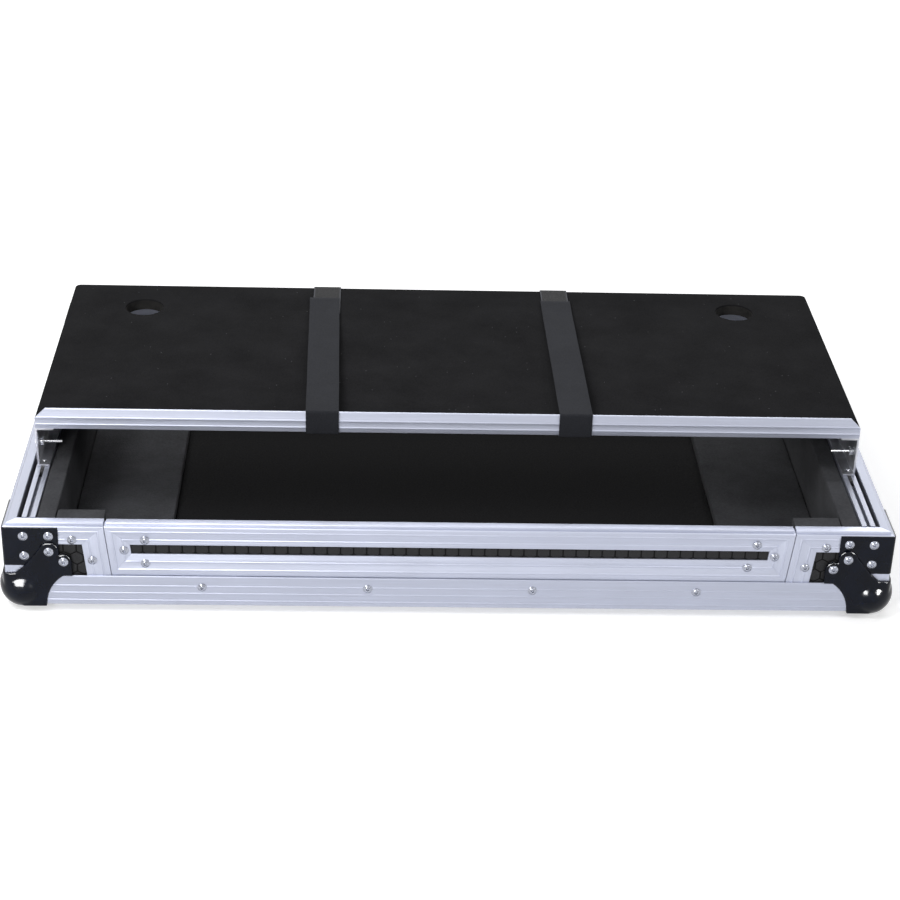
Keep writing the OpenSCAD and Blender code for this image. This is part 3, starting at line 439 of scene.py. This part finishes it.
def dress(node, material):
    """Gives a CAD node that stays its finish."""
    slots = NODES[node].data.materials
    if not slots:
        slots.append(material)
    for i in range(len(slots)):
        slots[i] = material


def round_edges(bm, width, segments=2, angle=25.0, pick=None):
    edges = [e for e in bm.edges if len(e.link_faces) == 2
             and e.calc_face_angle(0.0) > math.radians(angle) and (pick is None or pick(e))]
    bmesh.ops.bevel(bm, geom=edges, offset=width, offset_type="OFFSET", segments=segments,
                    profile=0.5, affect="EDGES", clamp_overlap=True, material=-1)


def softened(node, material, body, width, segments=2, angle=25.0):
    bm = merged_copy(node)
    round_edges(bm, width, segments, angle)
    piece = keep(bm, node + "_skin", material, body)
    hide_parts(node)
    return piece


def islands(node):
    """Lowest and highest corner of each solid of a node."""
    bm = bmesh.new()
    bm.from_mesh(NODES[node].data)
    bmesh.ops.remove_doubles(bm, verts=bm.verts, dist=WELD)
    left = set(bm.verts)
    found = []
    while left:
        queue = [left.pop()]
        low, high = queue[0].co.copy(), queue[0].co.copy()
        while queue:
            vert = queue.pop()
            for i in range(3):
                low[i] = min(low[i], vert.co[i])
                high[i] = max(high[i], vert.co[i])
            for edge in vert.link_edges:
                other = edge.other_vert(vert)
                if other in left:
                    left.discard(other)
                    queue.append(other)
        found.append((low, high))
    bm.free()
    return sorted(found, key=lambda box: tuple(round(c, 5) for c in box[0]))


def spun(profile, turns):
    """A round body from a profile of radius and height, closed on the axis."""
    bm = bmesh.new()
    verts = [bm.verts.new((r, 0.0, z)) for r, z in profile]
    edges = [bm.edges.new(pair) for pair in zip(verts, verts[1:])]
    bmesh.ops.spin(bm, geom=verts + edges, cent=(0, 0, 0), axis=(0, 0, 1),
                   angle=math.radians(360), steps=turns, use_merge=True)
    bmesh.ops.remove_doubles(bm, verts=bm.verts, dist=0.000002)
    bmesh.ops.recalc_face_normals(bm, faces=bm.faces)
    return bm


def turned_to(direction):
    return Vector((0, 0, 1)).rotation_difference(Vector(direction)).to_matrix().to_4x4()


def joined(target, source, matrix):
    """Adds a copy of source, placed by matrix, to target."""
    mesh = bpy.data.meshes.new("joined")
    source.to_mesh(mesh)
    mesh.transform(matrix)
    target.from_mesh(mesh)
    bpy.data.meshes.remove(mesh)


def sliced(bm, axis, step):
    """Cuts loops across the mesh, so that it can be bent."""
    low = min(v.co[axis] for v in bm.verts)
    high = max(v.co[axis] for v in bm.verts)
    count = max(1, round((high - low) / step))
    normal = [0, 0, 0]
    normal[axis] = 1
    for i in range(1, count):
        spot = [0, 0, 0]
        spot[axis] = low + (high - low) * i / count
        bmesh.ops.bisect_plane(bm, geom=bm.verts[:] + bm.edges[:] + bm.faces[:], dist=1e-7,
                               plane_co=spot, plane_no=normal)


def wobble(point, scale, seed):
    return noise.noise(point * scale + Vector((seed * 3.7, seed * 1.3, seed * 7.1)))


def soft_block(node, edge, step, rise, crown, seed):
    """A foam block in the CAD block's space: rounded edges, faces a little uneven."""
    low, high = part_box(node)
    bm = bmesh.new()
    bmesh.ops.create_cube(bm, size=1.0)
    bmesh.ops.scale(bm, vec=high - low, verts=bm.verts)
    bmesh.ops.translate(bm, vec=(low + high) / 2, verts=bm.verts)
    bmesh.ops.bevel(bm, geom=bm.edges[:], offset=edge, offset_type="OFFSET", segments=4,
                    profile=0.5, affect="EDGES", clamp_overlap=True, material=-1)
    for axis in range(3):
        if high[axis] - low[axis] > 2.5 * step:
            sliced(bm, axis, step)
    bm.normal_update()
    middle = (low + high) / 2
    half = (high - low) / 2
    for vert in bm.verts:
        if vert.co.z < low.z + 0.002:
            continue
        inside = [1 - min(1.0, abs(vert.co[i] - middle[i]) / half[i]) ** 4 for i in range(3)]
        wave = wobble(vert.co, 28.0, seed) * 0.7 + wobble(vert.co, 90.0, seed + 5) * 0.3
        amount = rise * (wave - 0.55)
        if vert.normal.z > 0.7:
            amount -= crown * (1 - inside[0] * inside[1])
        vert.co += vert.normal * amount
    return bm


# Operators

class CaseStep(bpy.types.Operator):
    """One step of dressing the flight case tray"""
    bl_options = {"REGISTER"}

    def execute(self, context):
        self.make()
        return {"FINISHED"}


MITRED_X = ("front_left_rim", "front_right_rim")
MITRED_Z = ("left_front_upright", "right_front_upright")
PRESSING_SMOOTHING = 9
RIVET_HEIGHT = 2.0 * MM
SHORT_HEAD_UP = 1.8 * MM
SHORT_HEAD_DOWN = 1.2 * MM
THREAD_PITCH = 0.56 * MM
THREAD_DEPTH = 0.14 * MM
THREAD_RADIUS = 1.5 * MM
STOP_HEAD = 2.0 * MM
LEFT_STRAP_SKEW = (2.0 * MM, -2.5 * MM)


class TRAY_OT_walls(CaseStep):
    """Laminated plywood walls, floor and the raw plywood under the rails"""
    bl_idname = "tray.walls"
    bl_label = "Walls and floor"

    def make(self):
        for node in ("front_wall", "rear_wall", "floor_panel"):
            dress(node, laminate("X"))
        for node in ("left_side_wall", "right_side_wall"):
            dress(node, laminate("Y"))
        for node in ("left_rail_support", "right_rail_support"):
            dress(node, raw_plywood())


class TRAY_OT_extrusions(CaseStep):
    """Rims, bottom angles, uprights, corner posts and glide rails of brushed aluminium"""
    bl_idname = "tray.extrusions"
    bl_label = "Aluminium extrusions"

    def make(self):
        width = sizes().edge_round
        dress("rear_rim", brushed_aluminium("X"))
        # The bottom angles take the aluminium at 0.88 of its lightness: painted shade, for the
        # floor's contact shadow that they reflect.
        for node in ("front_bottom_angle", "rear_bottom_angle"):
            dress(node, brushed_aluminium("X", 0.88))
        # The side rims take the aluminium at 0.48 of its lightness: painted shade, for the duller
        # reflection that their brushing along Y gives.
        for node in ("left_rim", "right_rim"):
            dress(node, brushed_aluminium("Y", 0.48))
        # Painted shade, as on the front and rear bottom angles.
        for node in ("left_bottom_angle", "right_bottom_angle"):
            dress(node, brushed_aluminium("Y", 0.88))
        for node in ("left_glide_rail", "right_glide_rail"):
            dress(node, brushed_aluminium("Y", 0.62, 0.5))
        dress("corner_posts", brushed_aluminium("Z"))
        for node in MITRED_X:
            softened(node, brushed_aluminium("X"), "tray", width)
        for node in MITRED_Z:
            softened(node, brushed_aluminium("Z"), "tray", width)


class TRAY_OT_front_panel(CaseStep):
    """Lift-out front panel: laminated board framed by four mitred channels"""
    bl_idname = "tray.front_panel"
    bl_label = "Front panel"

    def make(self):
        width = sizes().edge_round
        dress("panel_board", laminate("X"))
        for node in ("panel_top_rail", "panel_bottom_rail"):
            softened(node, brushed_aluminium("X"), "front_panel", width)
        for node in ("panel_left_end", "panel_right_end"):
            softened(node, brushed_aluminium("Z"), "front_panel", width)


class TRAY_OT_corners(CaseStep):
    """Ball corners of pressed steel and the bent braces above them"""
    bl_idname = "tray.corners"
    bl_label = "Corners"

    def make(self):
        for end in ("front_left", "front_right", "rear_left", "rear_right"):
            softened(end + "_brace", gloss_steel(), "tray", 0.55 * MM, 3)
            self.ball(end + "_ball_corner")

    def ball(self, node):
        bm = bmesh.new()
        bm.from_mesh(NODES[node].data)
        bmesh.ops.remove_doubles(bm, verts=bm.verts, dist=WELD)
        piece = keep(bm, node + "_pressing", gloss_steel(), "tray", 0)
        grid = piece.modifiers.new("blend", "REMESH")
        grid.mode = "VOXEL"
        grid.voxel_size = sizes().steel_voxel
        soft = piece.modifiers.new("press", "SMOOTH")
        soft.factor = 0.5
        soft.iterations = PRESSING_SMOOTHING
        shape = bpy.data.meshes.new_from_object(
            piece.evaluated_get(bpy.context.evaluated_depsgraph_get()))
        piece.modifiers.clear()
        piece.data = shape
        shape.materials.clear()
        shape.materials.append(gloss_steel())
        shape.shade_smooth()
        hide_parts(node)


class TRAY_OT_rivets(CaseStep):
    """Blind rivets with a domed flange and a hollow centre"""
    bl_idname = "tray.rivets"
    bl_label = "Rivets"

    def make(self):
        for node, body in (("edge_rivets", "tray"), ("brace_rivets", "tray"),
                           ("ball_corner_rivets", "tray"), ("panel_rivets", "front_panel")):
            self.rivets(node, body)

    def rivets(self, node, body):
        boxes = islands(node)
        extents = sorted(round((high - low)[i] / MM, 1) for low, high in boxes for i in range(3))
        head = max(set(extents), key=extents.count) * MM
        r = head / 2
        t = RIVET_HEIGHT
        source = spun([(0, 0.42 * t), (0.16 * r, 0.42 * t), (0.22 * r, 0.36 * t),
                       (0.25 * r, 0.30 * t), (0.30 * r, 0.34 * t), (0.33 * r, 0.90 * t),
                       (0.37 * r, 0.98 * t), (0.45 * r, 0.96 * t), (0.62 * r, 0.78 * t),
                       (0.78 * r, 0.48 * t), (0.86 * r, 0.33 * t), (0.94 * r, 0.30 * t),
                       (0.99 * r, 0.22 * t), (1.0 * r, 0.12 * t), (1.0 * r, 0.0),
                       (0, 0.0)], 24)
        bm = bmesh.new()
        draw = random.Random(11)
        for low, high in boxes:
            size = high - low
            axis = max((0, 1), key=lambda i: abs(size[i] - head))
            if all(abs(size[i] - head) < 0.00006 for i in (0, 1)):
                axis = 2
            centre = (low + high) / 2
            out = Vector((0, 0, 0))
            if axis == 2:
                out.z = -1.0
            else:
                out[axis] = 1.0 if centre[axis] > 0 else -1.0
            seat = centre.copy()
            seat[axis] = (high[axis] - t) if out[axis] > 0 else (low[axis] + t)
            lean = Matrix.Rotation(math.radians(draw.uniform(-2.0, 2.0)), 4, "X")
            joined(bm, source, Matrix.Translation(seat) @ turned_to(out) @ lean)
        source.free()
        piece = keep(bm, node + "_set", rivet_aluminium(), body, 35.0)
        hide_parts(node)


class TRAY_OT_lining(CaseStep):
    """Foam lining, raised foam blocks and floor mat"""
    bl_idname = "tray.lining"
    bl_label = "Lining"

    def make(self):
        edge = sizes().foam_round
        bands = ("left_foam", "right_foam", "rear_foam", "front_left_foam", "front_right_foam")
        for seed, node in enumerate(bands):
            bm = soft_block(node, edge, 7 * MM, 0.6 * MM, 0.2 * MM, seed)
            self.padded(bm, node, foam_skin("foam_band", 1.0))
        for seed, node in enumerate(("left_foam_block", "right_foam_block")):
            bm = soft_block(node, edge, 8 * MM, 0.5 * MM, 0.4 * MM, seed + 9)
            # The left block's foam is made 1.45 times as light as the bands and the right block's
            # 1.1 times: painted light and shade from the lamps at the left, on one and the same
            # foam.
            self.padded(bm, node, foam_skin("foam_block_%d" % seed, 1.45 - 0.35 * seed))
        bm = soft_block("floor_mat", 0.8 * MM, 12 * MM, 0.25 * MM, 0.2 * MM, 21)
        mat = keep(bm, "floor_mat_sheet", mat_skin(), "tray", 60.0)
        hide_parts("floor_mat")

    def padded(self, bm, node, material):
        piece = keep(bm, node + "_pad", material, "tray", 60.0)
        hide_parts(node)


class TRAY_OT_shelf(CaseStep):
    """Glide shelf: painted board, felt covering, front trim and bent brackets"""
    bl_idname = "tray.shelf"
    bl_label = "Glide shelf"

    def make(self):
        dress("shelf_board", black_paint())
        softened("shelf_trim", brushed_aluminium("X", 1.0, 0.55), "glide_shelf", 0.15 * MM)
        for node in ("left_bracket", "right_bracket"):
            softened(node, bracket_aluminium(), "glide_shelf", 0.45 * MM, 3)
        softened("slider_shoes", black_nylon(), "glide_shelf", 0.4 * MM, 2)
        bm = merged_copy("shelf_felt")
        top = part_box("shelf_felt")[1].z
        round_edges(bm, sizes().felt_round, 4, 40.0,
                    lambda e: all(v.co.z > top - 0.0001 for v in e.verts))
        felt = keep(bm, "shelf_felt_sheet", black_felt(), "glide_shelf", 60.0)
        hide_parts("shelf_felt")


class TRAY_OT_screws(CaseStep):
    """Screws of the shelf: pan heads below, and the long stop screws with their nuts"""
    bl_idname = "tray.screws"
    bl_label = "Screws"

    def make(self):
        self.short_screws()
        self.stop_screws()
        self.nuts()

    def short_screws(self):
        bm = bmesh.new()
        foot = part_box("left_bracket")[0].z
        for low, high in islands("shelf_screws"):
            up = low.z > foot + 0.01
            r = (high.x - low.x) / 2
            tall = high.z - low.z
            head = SHORT_HEAD_UP if up else SHORT_HEAD_DOWN
            if up:
                dome = [(0, 0.9 * MM), (0.2 * r, 0.95 * MM), (0.34 * r, 1.5 * MM),
                        (0.6 * r, 1.7 * MM), (0.85 * r, 1.3 * MM), (r, 0.6 * MM), (r, 0.0)]
            else:
                dome = [(0, 0.6 * MM), (0.3 * r, 0.7 * MM), (0.38 * r, 1.15 * MM),
                        (0.85 * r, 1.15 * MM), (r, 1.0 * MM), (r, 0.0)]
            source = spun(dome + [(0.42 * r, 0.0), (0.40 * r, head - tall), (0, head - tall)], 20)
            centre = Vector(((low.x + high.x) / 2, (low.y + high.y) / 2,
                             low.z + head if up else high.z - head))
            joined(bm, source, Matrix.Translation(centre) @ turned_to((0, 0, -1 if up else 1)))
            source.free()
        self.steel(bm, "shelf_screws")

    def stop_screws(self):
        bm = bmesh.new()
        for low, high in islands("stop_screws"):
            r = (high.y - low.y) / 2
            out = 1 if low.x > 0 else -1
            span = high.x - low.x
            core = THREAD_RADIUS
            profile = [(0, 0.8 * MM), (0.3 * r, 0.9 * MM), (0.42 * r, 1.6 * MM),
                       (0.7 * r, 1.9 * MM), (0.92 * r, 1.5 * MM), (r, 0.8 * MM), (r, 0.3 * MM),
                       (core, -0.2 * MM)]
            depth = 0.6 * MM
            while depth < span - 3.0 * MM:
                profile += [(core, -depth), (core - THREAD_DEPTH, -depth - THREAD_PITCH / 2)]
                depth += THREAD_PITCH
            profile += [(core * 0.7, STOP_HEAD - span), (0, STOP_HEAD - span)]
            source = spun(profile, 20)
            seat = Vector((high.x - STOP_HEAD if out > 0 else low.x + STOP_HEAD,
                           (low.y + high.y) / 2, (low.z + high.z) / 2))
            joined(bm, source, Matrix.Translation(seat) @ turned_to((out, 0, 0)))
            source.free()
        self.steel(bm, "stop_screws")

    def nuts(self):
        bm = merged_copy("stop_nuts")
        round_edges(bm, 0.35 * MM, 2, 40.0)
        self.steel(bm, "stop_nuts")

    def steel(self, bm, node):
        piece = keep(bm, node + "_zinc", zinc_steel(), "glide_shelf", 35.0)
        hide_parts(node)


class TRAY_OT_straps(CaseStep):
    """Two straps over the shelf and the hook tapes that they close on"""
    bl_idname = "tray.straps"
    bl_label = "Straps"

    def make(self):
        board_low, board_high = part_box("shelf_board")
        felt_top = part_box("shelf_felt")[1].z
        trim_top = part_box("shelf_trim")[1].z
        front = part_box("shelf_trim")[0].y
        rear = board_high.y
        for seed, side in enumerate(("left", "right")):
            low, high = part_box(side + "_hook_tape")
            tape_t = board_low.z - low.z
            z_top = felt_top + tape_t / 2
            z_low = board_low.z - tape_t / 2
            cloth = hook_cloth(round((low.x + high.x) / 2, 5), round((high.x - low.x) / 2, 5))
            self.ribbon(side + "_hook_tape", cloth, "hook_tape", seed + 1,
                        [(rear - 65 * MM, z_top), (rear + tape_t / 2, z_top),
                         (rear + tape_t / 2, z_low), (low.y, z_low)],
                        low.x, high.x, tape_t, 0.9 * MM, 0.12 * MM, (0.0, 0.0))
            strap_low, strap_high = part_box(side + "_strap")
            st = strap_high.z - trim_top
            z_tape = felt_top + tape_t + st / 2
            z_under = board_low.z - st / 2
            self.ribbon(side + "_strap", strap_cloth(), "black_webbing", seed + 4,
                        [(strap_high.y, z_tape), (strap_high.y - 28 * MM, z_tape),
                         (front + 2.0 * MM, trim_top + st / 2),
                         (front - st / 2, trim_top + st / 2),
                         (front - st / 2, z_under), (low.y, z_under)],
                        strap_low.x, strap_high.x, st, 1.4 * MM, 0.25 * MM,
                        LEFT_STRAP_SKEW if side == "left" else (0.0, 0.0))

    def ribbon(self, node, material, slot, seed, path, x0, x1, thickness, bend, wave, shift):
        """A band along path; shift is how far its front and rear ends lie off straight."""
        bm = bmesh.new()
        verts = [bm.verts.new((x0, y, z)) for y, z in path]
        edges = [bm.edges.new(pair) for pair in zip(verts, verts[1:])]
        bmesh.ops.bevel(bm, geom=verts[1:-1], offset=bend, offset_type="OFFSET", segments=5,
                        profile=0.5, affect="VERTICES", clamp_overlap=True, material=-1)
        long_edges = [e for e in bm.edges if e.calc_length() > 0.02]
        for edge in long_edges:
            bmesh.ops.subdivide_edges(bm, edges=[edge], cuts=int(edge.calc_length() / 0.006))
        steps = 6
        edge_row = bm.edges[:]
        for i in range(steps):
            made = bmesh.ops.extrude_edge_only(bm, edges=edge_row)
            moved = [g for g in made["geom"] if isinstance(g, bmesh.types.BMVert)]
            bmesh.ops.translate(bm, vec=((x1 - x0) / steps, 0, 0), verts=moved)
            edge_row = [g for g in made["geom"] if isinstance(g, bmesh.types.BMEdge)
                        and all(abs(v.co.x - (x0 + (x1 - x0) * (i + 1) / steps)) < 1e-6
                                for v in g.verts)]
        front = min(y for y, z in path)
        reach = max(y for y, z in path) - front
        for vert in bm.verts:
            vert.co.x += wave * wobble(Vector((0, vert.co.y, vert.co.z)), 22.0, seed)
            vert.co.x += shift[0] + (shift[1] - shift[0]) * (vert.co.y - front) / reach
        bmesh.ops.recalc_face_normals(bm, faces=bm.faces)
        bm.normal_update()
        for vert in bm.verts:
            vert.co -= vert.normal * thickness / 2
        bmesh.ops.solidify(bm, geom=bm.faces[:], thickness=-thickness)
        bmesh.ops.recalc_face_normals(bm, faces=bm.faces)
        round_edges(bm, 0.3 * MM, 2, 60.0)
        piece = keep(bm, node + "_cloth", material, "glide_shelf", 50.0)
        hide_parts(node)


# The camera, fitted to the photograph: place in mm, turns in degrees, focal length in pixels
CAMERA_PLACE = (-74.99, -1871.80, 1053.17)
CAMERA_DOWN = 28.3872
CAMERA_LEFT = 2.4816
CAMERA_ROLL = 1.8934
CAMERA_PIXELS = 2120.0
PHOTO_PIXELS = 900.0

WORLD_LIGHT = 0.18
FLOOR_GLOW = 0.42
FLOOR_REACH = 14.0

# Name, place, point aimed at, width, height (metres) and power (watts) of each lamp
LAMPS = (
    ("overhead_softbox", (-1.0, -0.9, 1.7), (0, 0, 0.1), 0.9, 0.7, 18.0),
    ("left_strip", (-1.05, -2.30, 1.14), (-0.3, 0, 0.1), 0.34, 0.70, 26.0),
    ("right_strip", (1.87, -1.39, 1.54), (0.3, 0, 0.1), 0.8, 0.18, 11.0),
    ("top_strip", (0.0, 0.1, 2.2), (0, 0, 0.1), 2.4, 0.10, 12.0),
    ("rear_softbox", (0.1, 2.9, 1.7), (0, 0, 0.1), 3.6, 1.5, 78.0),
)
# The same for the lamps that only make reflections in the black steel
STEEL_LAMPS = (
    ("left_steel_softbox", (-1.05, -2.30, 1.14), (-0.4, -0.2, 0.03), 1.8, 1.9, 1000.0),
    ("right_steel_spot", (2.95, -3.5, 0.85), (0.4, -0.2, 0.03), 1.0, 1.0, 680.0),
    ("right_steel_strip", (1.87, -1.39, 1.54), (0.4, -0.2, 0.03), 1.8, 0.30, 150.0),
    ("top_steel_strip", (0.0, -0.1, 2.2), (0, -0.2, 0.1), 3.0, 0.50, 400.0),
)


class TRAY_OT_stage(CaseStep):
    """Pale floor, soft studio light and the camera"""
    bl_idname = "tray.stage"
    bl_label = "Stage"

    def make(self):
        self.camera()
        self.world()
        self.floor()
        for lamp in LAMPS:
            self.lamp(*lamp)
        steel = self.steel_pieces()
        for lamp in STEEL_LAMPS:
            obj = self.lamp(*lamp)
            obj.visible_diffuse = False
            obj.visible_camera = False
            obj.light_linking.receiver_collection = steel

    def camera(self):
        made = bpy.data.cameras.new("photo_camera")
        made.sensor_width = 36.0
        made.lens = CAMERA_PIXELS / PHOTO_PIXELS * made.sensor_width
        made.clip_end = 100.0
        p, y, r = (math.radians(a) for a in (CAMERA_DOWN, -CAMERA_LEFT, CAMERA_ROLL))
        right = Vector((math.cos(y), math.sin(y), 0))
        ahead = Vector((-math.sin(y) * math.cos(p), math.cos(y) * math.cos(p), -math.sin(p)))
        up = right.cross(ahead)
        across = math.cos(r) * right + math.sin(r) * up
        above = math.cos(r) * up - math.sin(r) * right
        turn = Matrix((across, above, -ahead)).transposed()
        obj = bpy.data.objects.new("photo_camera", made)
        obj.matrix_world = Matrix.Translation(Vector(CAMERA_PLACE) * MM) @ turn.to_4x4()
        bpy.context.scene.collection.objects.link(obj)
        bpy.context.scene.camera = obj
        bpy.context.scene.view_settings.view_transform = "Standard"

    def world(self):
        world = bpy.data.worlds.new("studio")
        world.use_nodes = True
        bpy.context.scene.world = world
        tree = world.node_tree
        shell = tree.nodes["Background"]
        shell.inputs["Color"].default_value = (1, 1, 1, 1)
        shell.inputs["Strength"].default_value = 1.0
        dim = tree.nodes.new("ShaderNodeBackground")
        dim.inputs["Color"].default_value = (0.97, 0.98, 1, 1)
        dim.inputs["Strength"].default_value = WORLD_LIGHT
        path = tree.nodes.new("ShaderNodeLightPath")
        seen = self.seen(tree, path)
        pick = tree.nodes.new("ShaderNodeMixShader")
        tree.links.new(seen, pick.inputs[0])
        tree.links.new(dim.outputs[0], pick.inputs[1])
        tree.links.new(shell.outputs[0], pick.inputs[2])
        tree.links.new(pick.outputs[0], tree.nodes["World Output"].inputs["Surface"])

    def seen(self, tree, path):
        """1 on the rays that show the background: camera, glossy and transmission."""
        total = path.outputs["Is Camera Ray"]
        for name in ("Is Glossy Ray", "Is Transmission Ray"):
            add = tree.nodes.new("ShaderNodeMath")
            add.operation = "MAXIMUM"
            tree.links.new(total, add.inputs[0])
            tree.links.new(path.outputs[name], add.inputs[1])
            total = add.outputs[0]
        return total

    def floor(self):
        bm = bmesh.new()
        bmesh.ops.create_grid(bm, x_segments=1, y_segments=1, size=FLOOR_REACH)
        mesh = bpy.data.meshes.new("studio_floor")
        bm.to_mesh(mesh)
        bm.free()
        floor = bpy.data.objects.new("studio_floor", mesh)
        bpy.context.scene.collection.objects.link(floor)
        mat = bpy.data.materials.new("studio_paper")
        mat.use_nodes = True
        tree = mat.node_tree
        shader = tree.nodes["Principled BSDF"]
        shader.inputs["Base Color"].default_value = (0.80, 0.80, 0.80, 1)
        shader.inputs["Roughness"].default_value = 1.0
        shader.inputs["Specular IOR Level"].default_value = 0.0
        shader.inputs["Emission Color"].default_value = (1, 1, 1, 1)
        glow = tree.nodes.new("ShaderNodeMath")
        glow.operation = "MULTIPLY"
        glow.inputs[1].default_value = FLOOR_GLOW
        path = tree.nodes.new("ShaderNodeLightPath")
        tree.links.new(self.seen(tree, path), glow.inputs[0])
        tree.links.new(glow.outputs[0], shader.inputs["Emission Strength"])
        mesh.materials.append(mat)

    def steel_pieces(self):
        """The ball corners and braces, for the lamps that shine on them only."""
        steel = bpy.data.collections.new("gloss_steel_pieces")
        for piece in bpy.data.objects:
            if any(m and m.name.startswith("gloss_black_steel")
                   for m in getattr(piece.data, "materials", ())):
                steel.objects.link(piece)
        return steel

    def lamp(self, name, place, target, width, height, power):
        made = bpy.data.lights.new(name, "AREA")
        made.shape = "RECTANGLE"
        made.size = width
        made.size_y = height
        made.energy = power
        obj = bpy.data.objects.new(name, made)
        aim = Vector(target) - Vector(place)
        obj.matrix_world = (Matrix.Translation(Vector(place))
                            @ aim.to_track_quat("-Z", "Y").to_matrix().to_4x4())
        bpy.context.scene.collection.objects.link(obj)
        return obj


class TRAY_PT_panel(bpy.types.Panel):
    """Sizes, colours and steps of the flight case tray"""
    bl_idname = "TRAY_PT_panel"
    bl_label = "Flight case tray"
    bl_space_type = "VIEW_3D"
    bl_region_type = "UI"
    bl_category = "Flight case"

    def draw(self, context):
        for group in (context.scene.tray_sizes, context.scene.tray_colours):
            box = self.layout.box()
            for key in group.__annotations__:
                box.prop(group, key)
        for step in STEPS:
            self.layout.operator(step.bl_idname)


STEPS = (TRAY_OT_walls, TRAY_OT_extrusions, TRAY_OT_front_panel, TRAY_OT_corners,
         TRAY_OT_rivets, TRAY_OT_lining, TRAY_OT_shelf, TRAY_OT_screws, TRAY_OT_straps,
         TRAY_OT_stage)
CLASSES = (TraySizes, TrayColours) + STEPS + (TRAY_PT_panel,)


def register():
    for cls in CLASSES:
        bpy.utils.register_class(cls)
    bpy.types.Scene.tray_sizes = bpy.props.PointerProperty(type=TraySizes)
    bpy.types.Scene.tray_colours = bpy.props.PointerProperty(type=TrayColours)


def unregister():
    del bpy.types.Scene.tray_colours
    del bpy.types.Scene.tray_sizes
    for cls in reversed(CLASSES):
        bpy.utils.unregister_class(cls)


def main():
    register()
    for step in STEPS:
        family, name = step.bl_idname.split(".")
        getattr(getattr(bpy.ops, family), name)()


if __name__ == "__main__":
    main()
